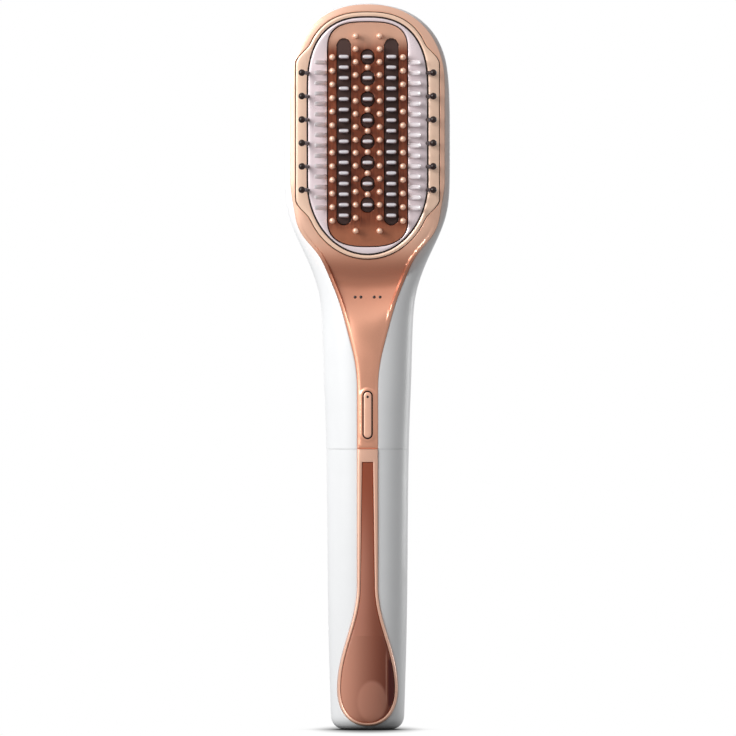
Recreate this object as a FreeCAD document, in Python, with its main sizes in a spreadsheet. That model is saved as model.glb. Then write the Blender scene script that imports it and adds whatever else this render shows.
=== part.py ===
import FreeCAD, Part
import math
import os
import Sketcher
from FreeCAD import Placement, Rotation, Vector

# A cordless steam hair straightener brush standing on its flat foot. Millimetres, +Z up along
# the brush, the bristle side faces -Y, and the origin is the middle of the foot.
# The lower handle is a water tank that pulls off; everything above its seam is the handpiece.

doc = FreeCAD.newDocument("SteamBrush")

# ------------------------------------------------------------------ driving dimensions
SIZES = {
    # outer form: half widths and heights of the sections that the casing is lofted through
    "overall_height": 291.0,
    "foot_half": 14.7,
    "tank_half": 16.0,
    "tank_section_height": 52.0,
    "seam_half": 16.3,
    "seam_height": 112.5,
    "grip_half": 17.4,
    "grip_height": 136.0,
    "throat_half": 18.7,
    "throat_height": 172.0,
    "shoulder_half": 23.8,
    "shoulder_height": 188.0,
    "head_half": 33.0,
    "head_low": 212.0,
    "dome_base": 258.0,
    "handle_front": 15.0,
    "handle_back": 15.0,
    "foot_front": 13.8,
    "head_rim": 6.0,
    "head_back": 13.0,
    "head_middle": 3.0,
    "base_rounding": 6.5,
    # walls, gaps and fits
    "shell_wall": 2.0,
    "front_wall": 2.0,
    "seam_gap": 0.4,
    "panel_gap": 0.15,
    "seat_gap": 0.1,
    "running_gap": 0.06,
    "side_gap": 0.55,
    # rose front panel
    "panel_half": 30.8,
    "panel_top_drop": 0.6,
    "flare_lift": 8.0,
    "spine_half": 4.1,
    "spine_proud": 0.6,
    "head_face": 13.0,
    "face_rounding": 1.4,
    "panel_back": 1.0,
    "panel_wall": 1.2,
    "rear_lip": 0.5,
    "rim_width": 1.6,
    "rim_wall": 2.0,
    "neck_gap": 0.5,
    "valley_lift": 1.0,
    "valley_run": 30.0,
    "valley_depth": 4.4,
    "chin_radius": 50.0,
    "chin_root": 1.0,
    # the nested outlines on the head
    "lobe_half": 28.7,
    "lobe_low": 212.5,
    "lobe_high": 266.5,
    "lobe_run": 8.0,
    "bezel_half": 25.5,
    "bezel_low": 188.6,
    "bezel_high": 287.3,
    "bezel_low_rise": 28.0,
    "bezel_high_rise": 29.0,
    "ring_half": 23.9,
    "ring_low": 190.5,
    "ring_high": 285.2,
    "ring_rise": 29.0,
    "plate_half": 16.1,
    "plate_low": 193.4,
    "plate_high": 283.5,
    "plate_low_rise": 11.0,
    "plate_high_rise": 12.0,
    "bezel_proud": 0.2,
    "bezel_flange": 0.7,
    "ring_proud": 0.4,
    "ring_groove": 0.5,
    "lip_width": 0.6,
    "lip_thick": 1.0,
    "plate_recess": 0.8,
    "plate_lip": 1.2,
    "plate_lip_width": 3.7,
    # comb field
    "comb_offset": 9.5,
    "slot_half": 2.65,
    "slot_low": 202.3,
    "slot_high": 276.5,
    "comb_pitch": 4.23,
    "comb_first": 205.9,
    "comb_teeth": 16,
    "comb_gap": 0.1,
    "comb_flange": 0.8,
    "comb_recess": 1.0,
    "comb_reach": 6.6,
    "tooth_half": 2.1,
    "tooth_foot": 1.9,
    "tooth_tip": 1.0,
    "tooth_blunt": 0.5,
    "tooth_root": 0.5,
    "vent_half": 2.5,
    "vent_height": 5.6,
    "pin_reach": 5.8,
    "pin_foot": 1.3,
    "pin_neck": 0.8,
    "pin_ball": 1.2,
    "outer_pin_offset": 14.1,
    "outer_pin_first": 203.8,
    "outer_pin_pitch": 5.45,
    "outer_pins": 13,
    "inner_pin_offset": 4.8,
    "inner_pin_first": 199.8,
    "inner_pin_pitch": 5.19,
    "inner_pins": 16,
    "side_tooth_first": 209.0,
    "side_tooth_pitch": 4.15,
    "side_teeth": 15,
    "side_tooth_thick": 1.4,
    "side_tooth_width": 1.2,
    "side_tooth_lean": 3.6,
    "side_tooth_reach": 4.6,
    "side_rail_start": 16.35,
    "side_rail_width": 1.3,
    "side_rail_depth": 1.0,
    "side_rail_end": 2.0,
    "channel_open": 0.3,
    "bristle_offset": 23.9,
    "bristle_first": 216.1,
    "bristle_pitch": 9.36,
    "bristles": 6,
    "bristle_lean": 20.0,
    "bristle_reach": 6.6,
    "bristle_stem": 0.8,
    "bristle_ball": 1.4,
    "bristle_rail_half": 1.5,
    "bristle_rail_end": 3.0,
    "bristle_gap": 0.15,
    "bristle_root": 0.6,
    # button and lamps
    "button_half": 1.55,
    "button_rise": 4.3,
    "button_length": 18.3,
    "button_proud": 0.4,
    "button_rounding": 0.4,
    "button_flange": 0.8,
    "button_lip": 0.55,
    "button_lens_drop": 1.9,
    "button_lens_radius": 0.58,
    "button_lens_depth": 1.5,
    "halo_half": 3.1,
    "halo_proud": 0.25,
    "halo_root": 1.0,
    "lamp_drop": 13.7,
    "lamp_radius": 0.6,
    "lamp_inner": 2.66,
    "lamp_outer": 5.0,
    "lamp_board_front": 6.6,
    "lamp_board_thick": 0.8,
    "lamp_board_half": 6.5,
    "lamp_board_height": 2.9,
    # water tank
    "trim_thick": 0.9,
    "trim_rim": 1.2,
    "window_head": 4.9,
    "window_recess": 0.5,
    "window_taper": 0.7,
    "drop_half": 12.1,
    "drop_centre": 16.5,
    "drop_low": 1.7,
    "drop_top": 58.0,
    "collar_drop": 2.3,
    "collar_depth": 6.0,
    "shoulder_radius": 12.4,
    "spigot_radius": 11.4,
    "spigot_reach": 10.5,
    "spigot_bore": 7.0,
    "spigot_floor": 2.2,
    "flange_thick": 2.2,
    "flange_lift": 0.8,
    "seal_width": 2.0,
    "seal_depth": 0.9,
    "seal_drop": 3.0,
    "dip_x": 9.1,
    "dip_y": -1.2,
    "dip_radius": 1.25,
    "dip_bore": 0.8,
    "dip_low": 13.6,
    "dip_stub": 2.3,
    "filter_radius": 1.6,
    "filter_length": 4.0,
    "filter_point": 1.4,
    "filter_tip": 0.5,
    "hose_radius": 1.6,
    "suction_offset": 13.2,
    "suction_stub": 3.0,
    "suction_run": 10.0,
    "suction_bend": 2.8,
    "feed_port": 2.0,
    "feed_turn": 4.0,
    "feed_rise": 7.4,
    "feed_slope": 3.0,
    "feed_bend": 1.8,
    "feed_offset": 6.0,
    # inside the handpiece
    "cell_radius": 9.1,
    "cell_seat": 0.3,
    "cell_head": 0.2,
    "cell_middle": 3.3,
    "cell_rounding": 1.0,
    "board_half": 9.0,
    "board_thick": 1.6,
    "board_rise": 2.9,
    "board_head": 3.0,
    "chassis_half": 9.1,
    "chassis_back": 6.0,
    "chassis_thick": 1.6,
    "shelf_drop": 16.0,
    "shelf_half": 11.0,
    "shelf_back": 9.6,
    "cradle_rise": 7.2,
    "cradle_half": 7.4,
    "cradle_back": 10.5,
    "switch_half": 3.0,
    "switch_thick": 1.4,
    "plunger_radius": 1.5,
    "plunger_thick": 0.6,
    "pump_half": 8.0,
    "pump_height": 11.0,
    "pump_front": 4.0,
    "pump_back": 9.5,
    "pump_rounding": 1.5,
    "pump_port": 6.0,
    "motor_radius": 7.0,
    "motor_middle": 3.5,
    "motor_length": 10.8,
    "block_inset": 1.5,
    "block_depth": 6.0,
    "chamber_depth": 4.0,
    "chamber_wall": 1.4,
    "gasket_width": 2.5,
    "gasket_thick": 0.8,
    "cover_thick": 1.5,
    "heater_half": 6.0,
    "heater_length": 44.0,
    "heater_thick": 1.3,
    "pad_half": 9.0,
    "pad_thick": 0.6,
    "fuse_height": 268.0,
    "fuse_radius": 1.6,
    "fuse_length": 10.0,
    "sensor_height": 206.0,
    "sensor_offset": 6.0,
    "sensor_size": 3.0,
    "sensor_thick": 1.5,
    "lead_radius": 1.0,
    "lead_offset": 14.2,
    "lead_stub": 8.4,
    "lead_slope": 9.05,
    "lead_drop": 21.0,
    "lead_end": 6.0,
    "lead_bend": 3.0,
    "screw_radius": 0.9,
    "screw_head": 1.7,
    "screw_head_thick": 1.0,
    "screw_length": 3.8,
    "screw_offset": 12.6,
    "screw_spread": 29.0,
    "socket_width": 8.94,
    "socket_height": 3.2,
    "socket_depth": 7.3,
    "socket_wall": 0.35,
    "socket_sink": 0.3,
    "tongue_half": 3.35,
    "tongue_thick": 0.7,
    "tongue_gap": 0.8,
    "pillar_rise": 1.3,
    "charge_board_thick": 1.6,
    "charge_board_half": 8.0,
    "charge_board_front": 4.0,
    "pillar_radius": 1.2,
    "pillar_offset": 6.0,
    # levels that follow from the sizes above
    "seam_low": "=seam_height - seam_gap / 2",
    "seam_high": "=seam_height + seam_gap / 2",
    "window_top": "=seam_low - window_head",
    "collar_top": "=seam_low - collar_drop",
    "spigot_low": "=collar_top - spigot_reach",
    "seal_height": "=collar_top - seal_drop",
    "deck": "=seam_high + flange_lift + flange_thick",
    "charge_board_low": "=deck + pillar_rise",
    "board_low": "=deck + board_rise",
    "cradle_low": "=deck + cradle_rise",
    "cell_low": "=cradle_low + chassis_thick + cell_seat",
    "button_low": "=seam_high + button_rise",
    "button_high": "=button_low + button_length",
    "button_middle": "=button_low + button_length / 2",
    "button_lens_height": "=button_high - button_lens_drop",
    "valley_top": "=shoulder_height - valley_lift",
    "valley_low": "=valley_top - valley_run",
    "lamp_height": "=valley_top - lamp_drop",
    "shelf_low": "=valley_top - shelf_drop",
    "shelf_top": "=shelf_low + chassis_thick",
    "board_high": "=shelf_low - board_head",
    "cell_length": "=shelf_low - cell_head - cell_low",
    "board_back": "=chassis_back + chassis_thick",
    "board_front": "=board_back + board_thick",
    "frame_back": "=front_wall - head_face",
    "plate_back": "=frame_back + lip_thick",
    "block_back": "=plate_back + block_depth",
    "gasket_back": "=block_back + gasket_thick",
    "cover_back": "=gasket_back + cover_thick",
    "plate_middle": "=(plate_low + plate_high) / 2",
}

sheet = doc.addObject("Spreadsheet::Sheet", "Sizes")
for row, (alias, value) in enumerate(SIZES.items(), start=1):
    sheet.set(f"A{row}", alias)
    sheet.set(f"B{row}", str(value))
    sheet.setAlias(f"B{row}", alias)
doc.recompute()


def size(alias):
    """The value of one named cell of the sheet."""
    return float(sheet.get(alias))


# How many points carry each free curve: enough for its shape and no more.
SECTION_POINTS = 12
CAP_STEPS = 12
LOBE_STEPS = 6
# Superellipse powers: how square the handle's and the head's sections and the dome are.
HANDLE_POWER = 2.2
HEAD_POWER = 2.5
DOME_POWER = 2.3
DOME_DEPTH_POWER = 3.0
DOME_ANGLES = (20, 40, 58, 72, 84)
DOME_TIP = 1.2
# The same for the lower ends of the head's ovals, the plate's two ends and the panel's outline.
LOW_POWER = 2.0
PLATE_POWERS = (2.6, 2.9)
PANEL_POWER = 2.2
# Far outside the brush: across it, and up from its foot.
FAR = 60.0
ABOVE = 400.0
# How far a cutter reaches past what it cuts.
OVER = 1.0


# ------------------------------------------------------------------ curve and solid helpers
def spline(points, start=None, end=None):
    """A smooth edge through the points, with given end directions if there are any."""
    curve = Part.BSplineCurve()
    if start is not None:
        curve.interpolate(Points=points, InitialTangent=start, FinalTangent=end)
    else:
        curve.interpolate(Points=points)
    return curve.toShape()


def line(a, b):
    return Part.LineSegment(a, b).toShape()


def arcs(points):
    """Edges through the points: a circular arc, or a line where it is straight, over every two
    steps."""
    edges = []
    for a, b, c in zip(points[::2], points[1::2], points[2::2]):
        bulge = b.distanceToLine(a, c - a)
        edges.append(Part.Arc(a, b, c).toShape() if bulge > 1e-4 else line(a, c))
    return edges


def prism(wire, near, far):
    """The front-view outline pushed from Y = near to Y = far."""
    face = Part.Face(wire)
    face.translate(Vector(0, near, 0))
    return face.extrude(Vector(0, far - near, 0))


def rounded_prism(outline, near, far, radius):
    """A prism of an outline function whose near edge is rounded: its sections shrink by the
    outline's own inset along a quarter circle."""
    straight = prism(outline(0), near + radius, far)
    sections = []
    for degrees in (0, 30, 60, 90):
        turn = math.radians(degrees)
        wire = outline(radius * (1 - math.cos(turn)))
        wire.translate(Vector(0, near + radius * (1 - math.sin(turn)), 0))
        sections.append(wire)
    return straight.fuse(Part.makeLoft(sections, True, False))


def profile_bar(wire, half):
    """A side-view outline in the YZ plane pushed to +-half along X."""
    face = Part.Face(wire)
    face.translate(Vector(-half, 0, 0))
    return face.extrude(Vector(2 * half, 0, 0))


def slab(low, high, reach=FAR):
    """Everything between two heights."""
    return Part.makeBox(2 * reach, 2 * reach, high - low, Vector(-reach, -reach, low))


def power_point(angle, half, rise, power):
    """A point of the superellipse |u/half|^power + |v/rise|^power = 1."""
    c, s = math.cos(angle), math.sin(angle)
    u = half * math.copysign(abs(c) ** (2 / power), c)
    v = rise * math.copysign(abs(s) ** (2 / power), s)
    return u, v


def power_half(share, power):
    """Half width, as a share, of a superellipse at a share of its height."""
    return max(1 - abs(share) ** power, 0.0) ** (1 / power)


def cap_edge(half, base, rise, power):
    """Edges of a superellipse end from (+half, base) over base + rise to (-half, base)."""
    points = []
    for step in range(CAP_STEPS + 1):
        x, z = power_point(math.pi * step / CAP_STEPS, half, rise, power)
        points.append(Vector(x, 0, base + z))
    return arcs(points)


def oval(half, low, high, low_rise, high_rise, low_power, high_power, inset=0.0):
    """A closed front-view outline: straight sides and superellipse ends."""
    half, low_base, high_base = half - inset, low + low_rise, high - high_rise
    top = cap_edge(half, high_base, high_rise - inset, high_power)
    bottom = cap_edge(half, low_base, inset - low_rise, low_power)
    left = line(Vector(-half, 0, high_base), Vector(-half, 0, low_base))
    right = line(Vector(half, 0, low_base), Vector(half, 0, high_base))
    return Part.Wire(Part.__sortEdges__([*top, left, *bottom, right]))


def ring_outline(inset=0.0):
    """Outer edge of the guard ring."""
    rise = size("ring_rise")
    return oval(
        size("ring_half"), size("ring_low"), size("ring_high"), rise, rise, LOW_POWER, HEAD_POWER,
        inset,
    )


def plate_outline(inset=0.0):
    """Edge of the heated plate: a long panel with bowed ends."""
    return oval(
        size("plate_half"), size("plate_low"), size("plate_high"), size("plate_low_rise"),
        size("plate_high_rise"), *PLATE_POWERS, inset,
    )


def bezel_outline(inset=0.0):
    """The oval bezel with a straight lobe swelling out on each side for the bristles."""
    half, lobe = size("bezel_half") - inset, size("lobe_half") - inset
    run = size("lobe_run")

    def end_points(tip, rise, power, lobe_end):
        # rise is signed: up for the top end, down for the bottom end
        sign = math.copysign(1, rise)
        base = tip - rise
        reach = abs(rise) - inset
        side = []
        for step in range(LOBE_STEPS + 1):
            share = step / LOBE_STEPS
            z = lobe_end + sign * run * share
            ease = (1 - share) ** 2 * (1 + 2 * share)
            x = half * power_half((z - base) / reach, power)
            side.append(Vector(x + (lobe - x) * ease, 0, z))
        start_share = (side[-1].z - base) / (sign * reach)
        first = math.asin(start_share ** (power / 2))
        for step in range(1, CAP_STEPS // 2 + 1):
            angle = first + (math.pi / 2 - first) * step / (CAP_STEPS // 2)
            x, z = power_point(angle, half, sign * reach, power)
            side.append(Vector(x, 0, base + z))
        mirror = [Vector(-p.x, 0, p.z) for p in reversed(side[:-1])]
        side[-1].x = 0.0
        return side + mirror

    top = end_points(size("bezel_high"), size("bezel_high_rise"), HEAD_POWER, size("lobe_high"))
    bottom = end_points(size("bezel_low"), -size("bezel_low_rise"), LOW_POWER, size("lobe_low"))
    left, right = line(top[-1], bottom[-1]), line(bottom[0], top[0])
    return Part.Wire(Part.__sortEdges__([*arcs(top), left, *arcs(bottom), right]))


# Where the rose panel's edge runs from the head down into the spine: (share of the way from
# the spine's half width to the head's, height above the grip section).
PANEL_NECK = (
    (0.947, 73.0), (0.83, 62.5), (0.59, 54.5), (0.445, 47.0), (0.28, 36.0),
    (0.145, 23.5), (0.03, 10.5), (0.0, 0.0),
)
# How the head frame's face sinks back into the neck: (distance back, height over the valley's top).
SINK = (
    (0.0, 11.0), (0.1, 6.5), (0.6, 2.5), (1.4, -0.5), (2.3, -3.5), (3.4, -6.0), (5.5, -8.5),
    (8.0, -10.5),
)
# The floor of the valley under the head: (share of its depth, share of its height) going down.
VALLEY = (
    (0.0, 0.0), (0.18, 0.086), (0.64, 0.163), (0.95, 0.256), (0.86, 0.374),
    (0.45, 0.51), (-0.05, 0.674), (-0.45, 0.84), (-0.73, 1.0),
)


# Where the head frame starts under the valley's top, how many degrees the bowed chin swings to
# each side, and the curve of the panel's own back:
# (share of the way from the spine's back to the head's, height over the valley's low end).
NECK_START = -14.0
CHIN_SWING = 32.0
REAR = ((0.0, -5.0), (0.133, 8.0), (0.433, 18.0), (0.733, 28.0), (1.0, 38.0))


def panel_outline(inset=0.0, extra=0.0):
    """Front-view edge of the rose panel: a rounded head, a flaring neck and a slim spine, drawn
    longer at its foot by the extra."""
    half, spine = size("panel_half"), size("spine_half")
    top = size("overall_height") - size("panel_top_drop")
    dome, grip = size("dome_base"), size("grip_height")
    cap = cap_edge(half - inset, dome, top - dome - inset, PANEL_POWER)
    flare = [Vector(half - inset, 0, size("head_low") + size("flare_lift"))]
    for share, rise in PANEL_NECK:
        flare.append(Vector(spine + (half - spine) * share - inset, 0, grip + rise))
    down = Vector(0, 0, -1)
    right = spline(flare, down, down)
    left = spline([Vector(-p.x, 0, p.z) for p in flare], down, down)
    foot = size("seam_high") - extra
    low = spine - inset
    return Part.Wire([
        *cap,
        line(Vector(inset - half, 0, dome), left.Vertexes[0].Point),
        left,
        line(left.Vertexes[-1].Point, Vector(-low, 0, foot)),
        line(Vector(-low, 0, foot), Vector(low, 0, foot)),
        line(Vector(low, 0, foot), right.Vertexes[-1].Point),
        right,
        line(right.Vertexes[0].Point, Vector(half - inset, 0, dome)),
    ])


def drop_outline(inset, top, taper=0.0):
    """The inlay of the tank: a slim stem that opens into a drop, cut square at the top; taper
    is how much narrower each side of the stem is at its top."""
    half, stem = size("drop_half") - inset, size("spine_half") - inset
    centre, low, flare_top = size("drop_centre"), size("drop_low"), size("drop_top")
    bowl = cap_edge(half, centre, low + inset - centre, PANEL_POWER)
    points = []
    for step in range(CAP_STEPS + 1):
        share = step / CAP_STEPS
        ease = (1 + math.cos(math.pi * share)) / 2
        points.append(Vector(stem + (half - stem) * ease, 0, centre + (flare_top - centre) * share))
    up = Vector(0, 0, 1)
    right = spline(points, up, up)
    left = spline([Vector(-p.x, 0, p.z) for p in points], up, up)
    return Part.Wire(Part.__sortEdges__([
        *bowl, right, left,
        line(Vector(stem, 0, flare_top), Vector(stem - taper, 0, top)),
        line(Vector(stem - taper, 0, top), Vector(taper - stem, 0, top)),
        line(Vector(taper - stem, 0, top), Vector(-stem, 0, flare_top)),
    ]))


def capsule(half, low, high):
    """An upright slot outline with round ends."""
    top, bottom = Vector(0, 0, high - half), Vector(0, 0, low + half)
    sideways = Vector(half, 0, 0)
    up = Vector(0, 0, half)
    return Part.Wire(Part.__sortEdges__([
        Part.Arc(top + sideways, top + up, top - sideways).toShape(),
        line(top - sideways, bottom - sideways),
        Part.Arc(bottom - sideways, bottom - up, bottom + sideways).toShape(),
        line(bottom + sideways, top + sideways),
    ]))


def side_slot(middle, half, low, high):
    """A capsule moved sideways to its own centre line."""
    wire = capsule(half, low, high)
    wire.translate(Vector(middle, 0, 0))
    return wire


def tube(points, radius, bend):
    """A round bar along straight runs joined by tangent arcs of one bend radius."""
    pieces = []
    start = points[0]
    for before, corner, after in zip(points, points[1:], points[2:]):
        way_in = (corner - before).normalize()
        way_out = (after - corner).normalize()
        turn = way_in.getAngle(way_out)
        cut = bend * math.tan(turn / 2)
        first, last = corner - way_in * cut, corner + way_out * cut
        pieces.append(Part.makeCylinder(radius, start.distanceToPoint(first), start, way_in))
        axis = way_in.cross(way_out)
        centre = first + axis.cross(way_in).normalize() * bend
        disc = Part.Face(Part.Wire(Part.makeCircle(radius, first, way_in)))
        pieces.append(disc.revolve(centre, axis, math.degrees(turn)))
        start = last
    way = (points[-1] - start).normalize()
    pieces.append(Part.makeCylinder(radius, start.distanceToPoint(points[-1]), start, way))
    return pieces[0].multiFuse(pieces[1:])


# ------------------------------------------------------------------ the outer form
# Control rows of the casing above its foot: (section below, section above, share of the rise
# between them, share of the widening, share of the way from the handle's depth to the head's).
CLIMB = (
    ("foot", "tank", 0.5, 0.5, 0.0),
    ("tank", "seam", 0.0, 0.0, 0.0),
    ("seam", "grip", 0.0, 0.0, 0.0),
    ("grip", "throat", 0.0, 0.0, 0.01),
    ("grip", "throat", 0.333, 0.25, 0.03),
    ("grip", "throat", 0.7, 0.5, 0.06),
    ("throat", "shoulder", 0.0, 0.0, 0.13),
    ("throat", "shoulder", 0.5, 0.38, 0.28),
    ("shoulder", "head", 0.0, 0.0, 0.47),
    ("shoulder", "head", 0.333, 0.43, 0.68),
    ("shoulder", "head", 0.667, 0.8, 0.86),
    ("shoulder", "head", 1.0, 0.98, 0.97),
    ("head", "dome", 0.22, 0.0, 1.0),
    ("head", "dome", 0.5, 0.0, 1.0),
    ("head", "dome", 1.0, 0.0, 1.0),
)
# How far out along its corner the foot's second control row lies.
FOOT_CORNER = 0.55


def casing_rows(inset):
    """(height, half width, Y of the widest line, front depth, back depth) rows of control points
    up the brush, for the outer form with every side moved in by inset."""
    front, back = size("handle_front"), size("handle_back")
    head_front = size("head_rim") - size("head_middle")
    head_back = size("head_back") + size("head_middle")
    middle, head, dome = -size("head_middle"), size("head_half"), size("dome_base")
    sections = {
        "foot": (0.0, size("foot_half")),
        "tank": (size("tank_section_height"), size("tank_half")),
        "seam": (size("seam_height"), size("seam_half")),
        "grip": (size("grip_height"), size("grip_half")),
        "throat": (size("throat_height"), size("throat_half")),
        "shoulder": (size("shoulder_height"), size("shoulder_half")),
        "head": (size("head_low"), head),
        "dome": (dome, head),
    }

    # the rounded foot: a flat disc, the start of its rounding, its corner, the straight side
    foot, deep, flat = size("foot_half"), size("foot_front"), size("base_rounding")
    out = FOOT_CORNER * (flat - inset) - flat
    rows = [
        (inset, foot - flat, 0.0, deep - flat, deep - flat),
        (inset, foot + out, 0.0, deep + out, deep + out),
        (-out, foot - inset, 0.0, deep - inset, deep - inset),
        (flat, foot - inset, 0.0, deep - inset, deep - inset),
    ]
    for below, above, rise, widening, share in CLIMB:
        (low, narrow), (high, wide) = sections[below], sections[above]
        rows.append((
            low + (high - low) * rise, narrow + (wide - narrow) * widening - inset, middle * share,
            front + (head_front - front) * share - inset,
            back + (head_back - back) * share - inset,
        ))
    rise = size("overall_height") - dome - inset
    for degrees in DOME_ANGLES:
        c, s = math.cos(math.radians(degrees)), math.sin(math.radians(degrees))
        wide, deep = c ** (2 / DOME_POWER), c ** (2 / DOME_DEPTH_POWER)
        rows.append((
            dome + rise * s ** (2 / DOME_POWER), (head - inset) * wide, middle,
            (head_front - inset) * deep, (head_back - inset) * deep,
        ))
    rows.append((dome + rise, DOME_TIP, middle, DOME_TIP / 2, DOME_TIP / 2))
    return rows


def section(height, half, middle, front, back):
    """A closed cross-section curve: two superellipse halves that meet at the widest line."""
    share = min(height / size("head_low"), 1.0) ** 4
    power = HANDLE_POWER + (HEAD_POWER - HANDLE_POWER) * share
    points = []
    for step in range(SECTION_POINTS):
        angle = math.pi / 2 + 2 * math.pi * step / SECTION_POINTS
        x, y = power_point(angle, half, 1.0, power)
        points.append(Vector(x, middle + y * (back if y > 0 else front), height))
    curve = Part.BSplineCurve()
    even = [step / SECTION_POINTS for step in range(SECTION_POINTS + 1)]
    curve.interpolate(Points=points, PeriodicFlag=True, Parameters=even)
    return curve


def casing(inset):
    """The whole outer form as one smooth skin over its cross-sections, closed by a flat foot
    and a small flat tip, with every side moved in by inset (out, where it is negative)."""
    curves = [section(*row) for row in casing_rows(inset)]
    poles = [list(column) for column in zip(*(curve.getPoles() for curve in curves))]
    inner_knots = len(curves) - 4
    skin = Part.BSplineSurface()
    skin.buildFromPolesMultsKnots(
        poles, curves[0].getMultiplicities(), [4] + [1] * inner_knots + [4],
        curves[0].getKnots(), [float(i) for i in range(inner_knots + 2)], True, False, 3, 3,
    )
    face = skin.toShape()
    rims = [edge for edge in face.Edges if edge.BoundBox.ZLength < 1e-6]
    shell = Part.makeShell([face] + [Part.Face(Part.Wire([rim])) for rim in rims])
    shell.sewShape()
    return Part.makeSolid(shell)


def tank_form(inset):
    """The tank's share of the outer form, moved in by inset."""
    return casing(inset).common(slab(-FAR, size("seam_low")))


# ------------------------------------------------------------------ document helpers
NODES = []


def keep(obj, label):
    """Marks an object as a finished sub-part under its own label."""
    obj.Label = label
    NODES.append(obj)
    return obj


def shaped(label, shape):
    """A sub-part whose shape comes from free curves."""
    obj = doc.addObject("Part::Feature", label)
    obj.Shape = shape
    return keep(obj, label)


def primitive(kind, name, x="0", y="0", z="0", turn=None, **sizes):
    """A Part primitive with its sizes and its place bound to cells of the sheet."""
    obj = doc.addObject("Part::" + kind, name)
    if turn is not None:
        obj.Placement = Placement(Vector(0, 0, 0), turn)
    for prop, formula in sizes.items():
        obj.setExpression(prop, formula)
    for axis, formula in zip("xyz", (x, y, z)):
        obj.setExpression("Placement.Base." + axis, formula)
    return obj


def combine(kind, name, *shapes):
    """A boolean of document objects: Cut takes two, MultiFuse and MultiCommon take any."""
    obj = doc.addObject("Part::" + kind, name)
    if kind == "Cut":
        obj.Base, obj.Tool = shapes
    else:
        obj.Shapes = list(shapes)
    return obj


TO_BACK = Rotation(Vector(1, 0, 0), -90)  # turns a primitive's +Z towards +Y
TO_RIGHT = Rotation(Vector(0, 1, 0), 90)  # turns a primitive's +Z towards +X


def body_sketch(body, role, name, offset="0"):
    """A sketch on one of the body's own origin planes, moved along its normal."""
    sketch = body.newObject("Sketcher::SketchObject", name)
    plane = next(p for p in body.Origin.OriginFeatures if p.Role == role)
    sketch.AttachmentSupport = (plane, [""])
    sketch.MapMode = "FlatFace"
    sketch.setExpression("AttachmentOffset.Base.z", offset)
    return sketch


def bind(sketch, constraint, formula):
    """Adds a dimension and ties it to the sheet."""
    index = sketch.addConstraint(constraint)
    sketch.setExpression(f"Constraints[{index}]", formula)


def draw_box(sketch, left, low, right, high):
    """A rectangle held by four dimensions from the origin, first drawn as a small square."""
    x0, y0, x1, y1 = -1.0, -1.0, 1.0, 1.0
    corners = [Vector(x0, y0, 0), Vector(x1, y0, 0), Vector(x1, y1, 0), Vector(x0, y1, 0)]
    sides = [
        sketch.addGeometry(Part.LineSegment(corners[i], corners[(i + 1) % 4]), False)
        for i in range(4)
    ]
    for i in range(4):
        follow = sides[(i + 1) % 4]
        sketch.addConstraint(Sketcher.Constraint("Coincident", sides[i], 2, follow, 1))
        kind = "Horizontal" if i % 2 == 0 else "Vertical"
        sketch.addConstraint(Sketcher.Constraint(kind, sides[i]))
    bind(sketch, Sketcher.Constraint("DistanceX", -1, 1, sides[0], 1, x0), left)
    bind(sketch, Sketcher.Constraint("DistanceY", -1, 1, sides[0], 1, y0), low)
    bind(sketch, Sketcher.Constraint("DistanceX", -1, 1, sides[1], 2, x1), right)
    bind(sketch, Sketcher.Constraint("DistanceY", -1, 1, sides[1], 2, y1), high)


def draw_circle(sketch, x, y, radius):
    """A circle held by its centre and radius, first drawn small."""
    x0, y0, r0 = 1.0, 1.0, 1.0
    ring = sketch.addGeometry(Part.Circle(Vector(x0, y0, 0), Vector(0, 0, 1), r0), False)
    bind(sketch, Sketcher.Constraint("DistanceX", -1, 1, ring, 3, x0), x)
    bind(sketch, Sketcher.Constraint("DistanceY", -1, 1, ring, 3, y0), y)
    bind(sketch, Sketcher.Constraint("Radius", ring, r0), radius)


def pad(body, sketch, length, reverse=False):
    feature = body.newObject("PartDesign::Pad", sketch.Name + "Pad")
    feature.Profile = sketch
    feature.setExpression("Length", length)
    feature.Reversed = reverse
    return feature


# ------------------------------------------------------------------ water tank
def make_tank():
    """The white tank shell, its rose trim, its tinted window and the collar in its mouth."""
    wall, clear = size("shell_wall"), size("seat_gap")
    top = size("seam_low")
    recess_back = casing(size("trim_thick"))
    trim_prism = prism(drop_outline(0, top), -FAR, 0)
    rim, taper, high = size("trim_rim"), size("window_taper"), size("window_top")
    hole_prism = prism(drop_outline(rim, high, taper), -FAR, 0)
    window_prism = prism(drop_outline(rim + clear, high - clear, taper), -FAR, 0)

    recess = prism(drop_outline(-clear, top + OVER), -FAR, 0).cut(recess_back)
    inner = casing(wall)
    shell = tank_form(0).cut(inner).cut(recess).cut(hole_prism)
    shaped("tank_shell", shell)

    trim = tank_form(-size("spine_proud")).common(trim_prism).cut(recess_back).cut(hole_prism)
    shaped("tank_trim_frame", trim)

    window = tank_form(size("window_recess")).common(window_prism).cut(inner)
    shaped("tank_window", window)

    collar_low = size("collar_top") - size("collar_depth")
    collar = casing(wall + clear).common(slab(collar_low, size("collar_top")))
    bore = Part.makeCylinder(
        size("spigot_radius") + size("running_gap"), size("collar_depth") + 2 * OVER,
        Vector(0, 0, collar_low - OVER),
    )
    shaped("tank_collar", collar.cut(bore))


make_tank()


# ------------------------------------------------------------------ handpiece casings
def valley_curve(back):
    """Side view of the valley's floor, moved back by the given amount."""
    top, run = size("valley_top"), size("valley_top") - size("valley_low")
    face, depth = size("head_face"), size("valley_depth")
    return spline([
        Vector(0, back - face + depth * deep, top - run * down) for deep, down in VALLEY
    ])


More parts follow.
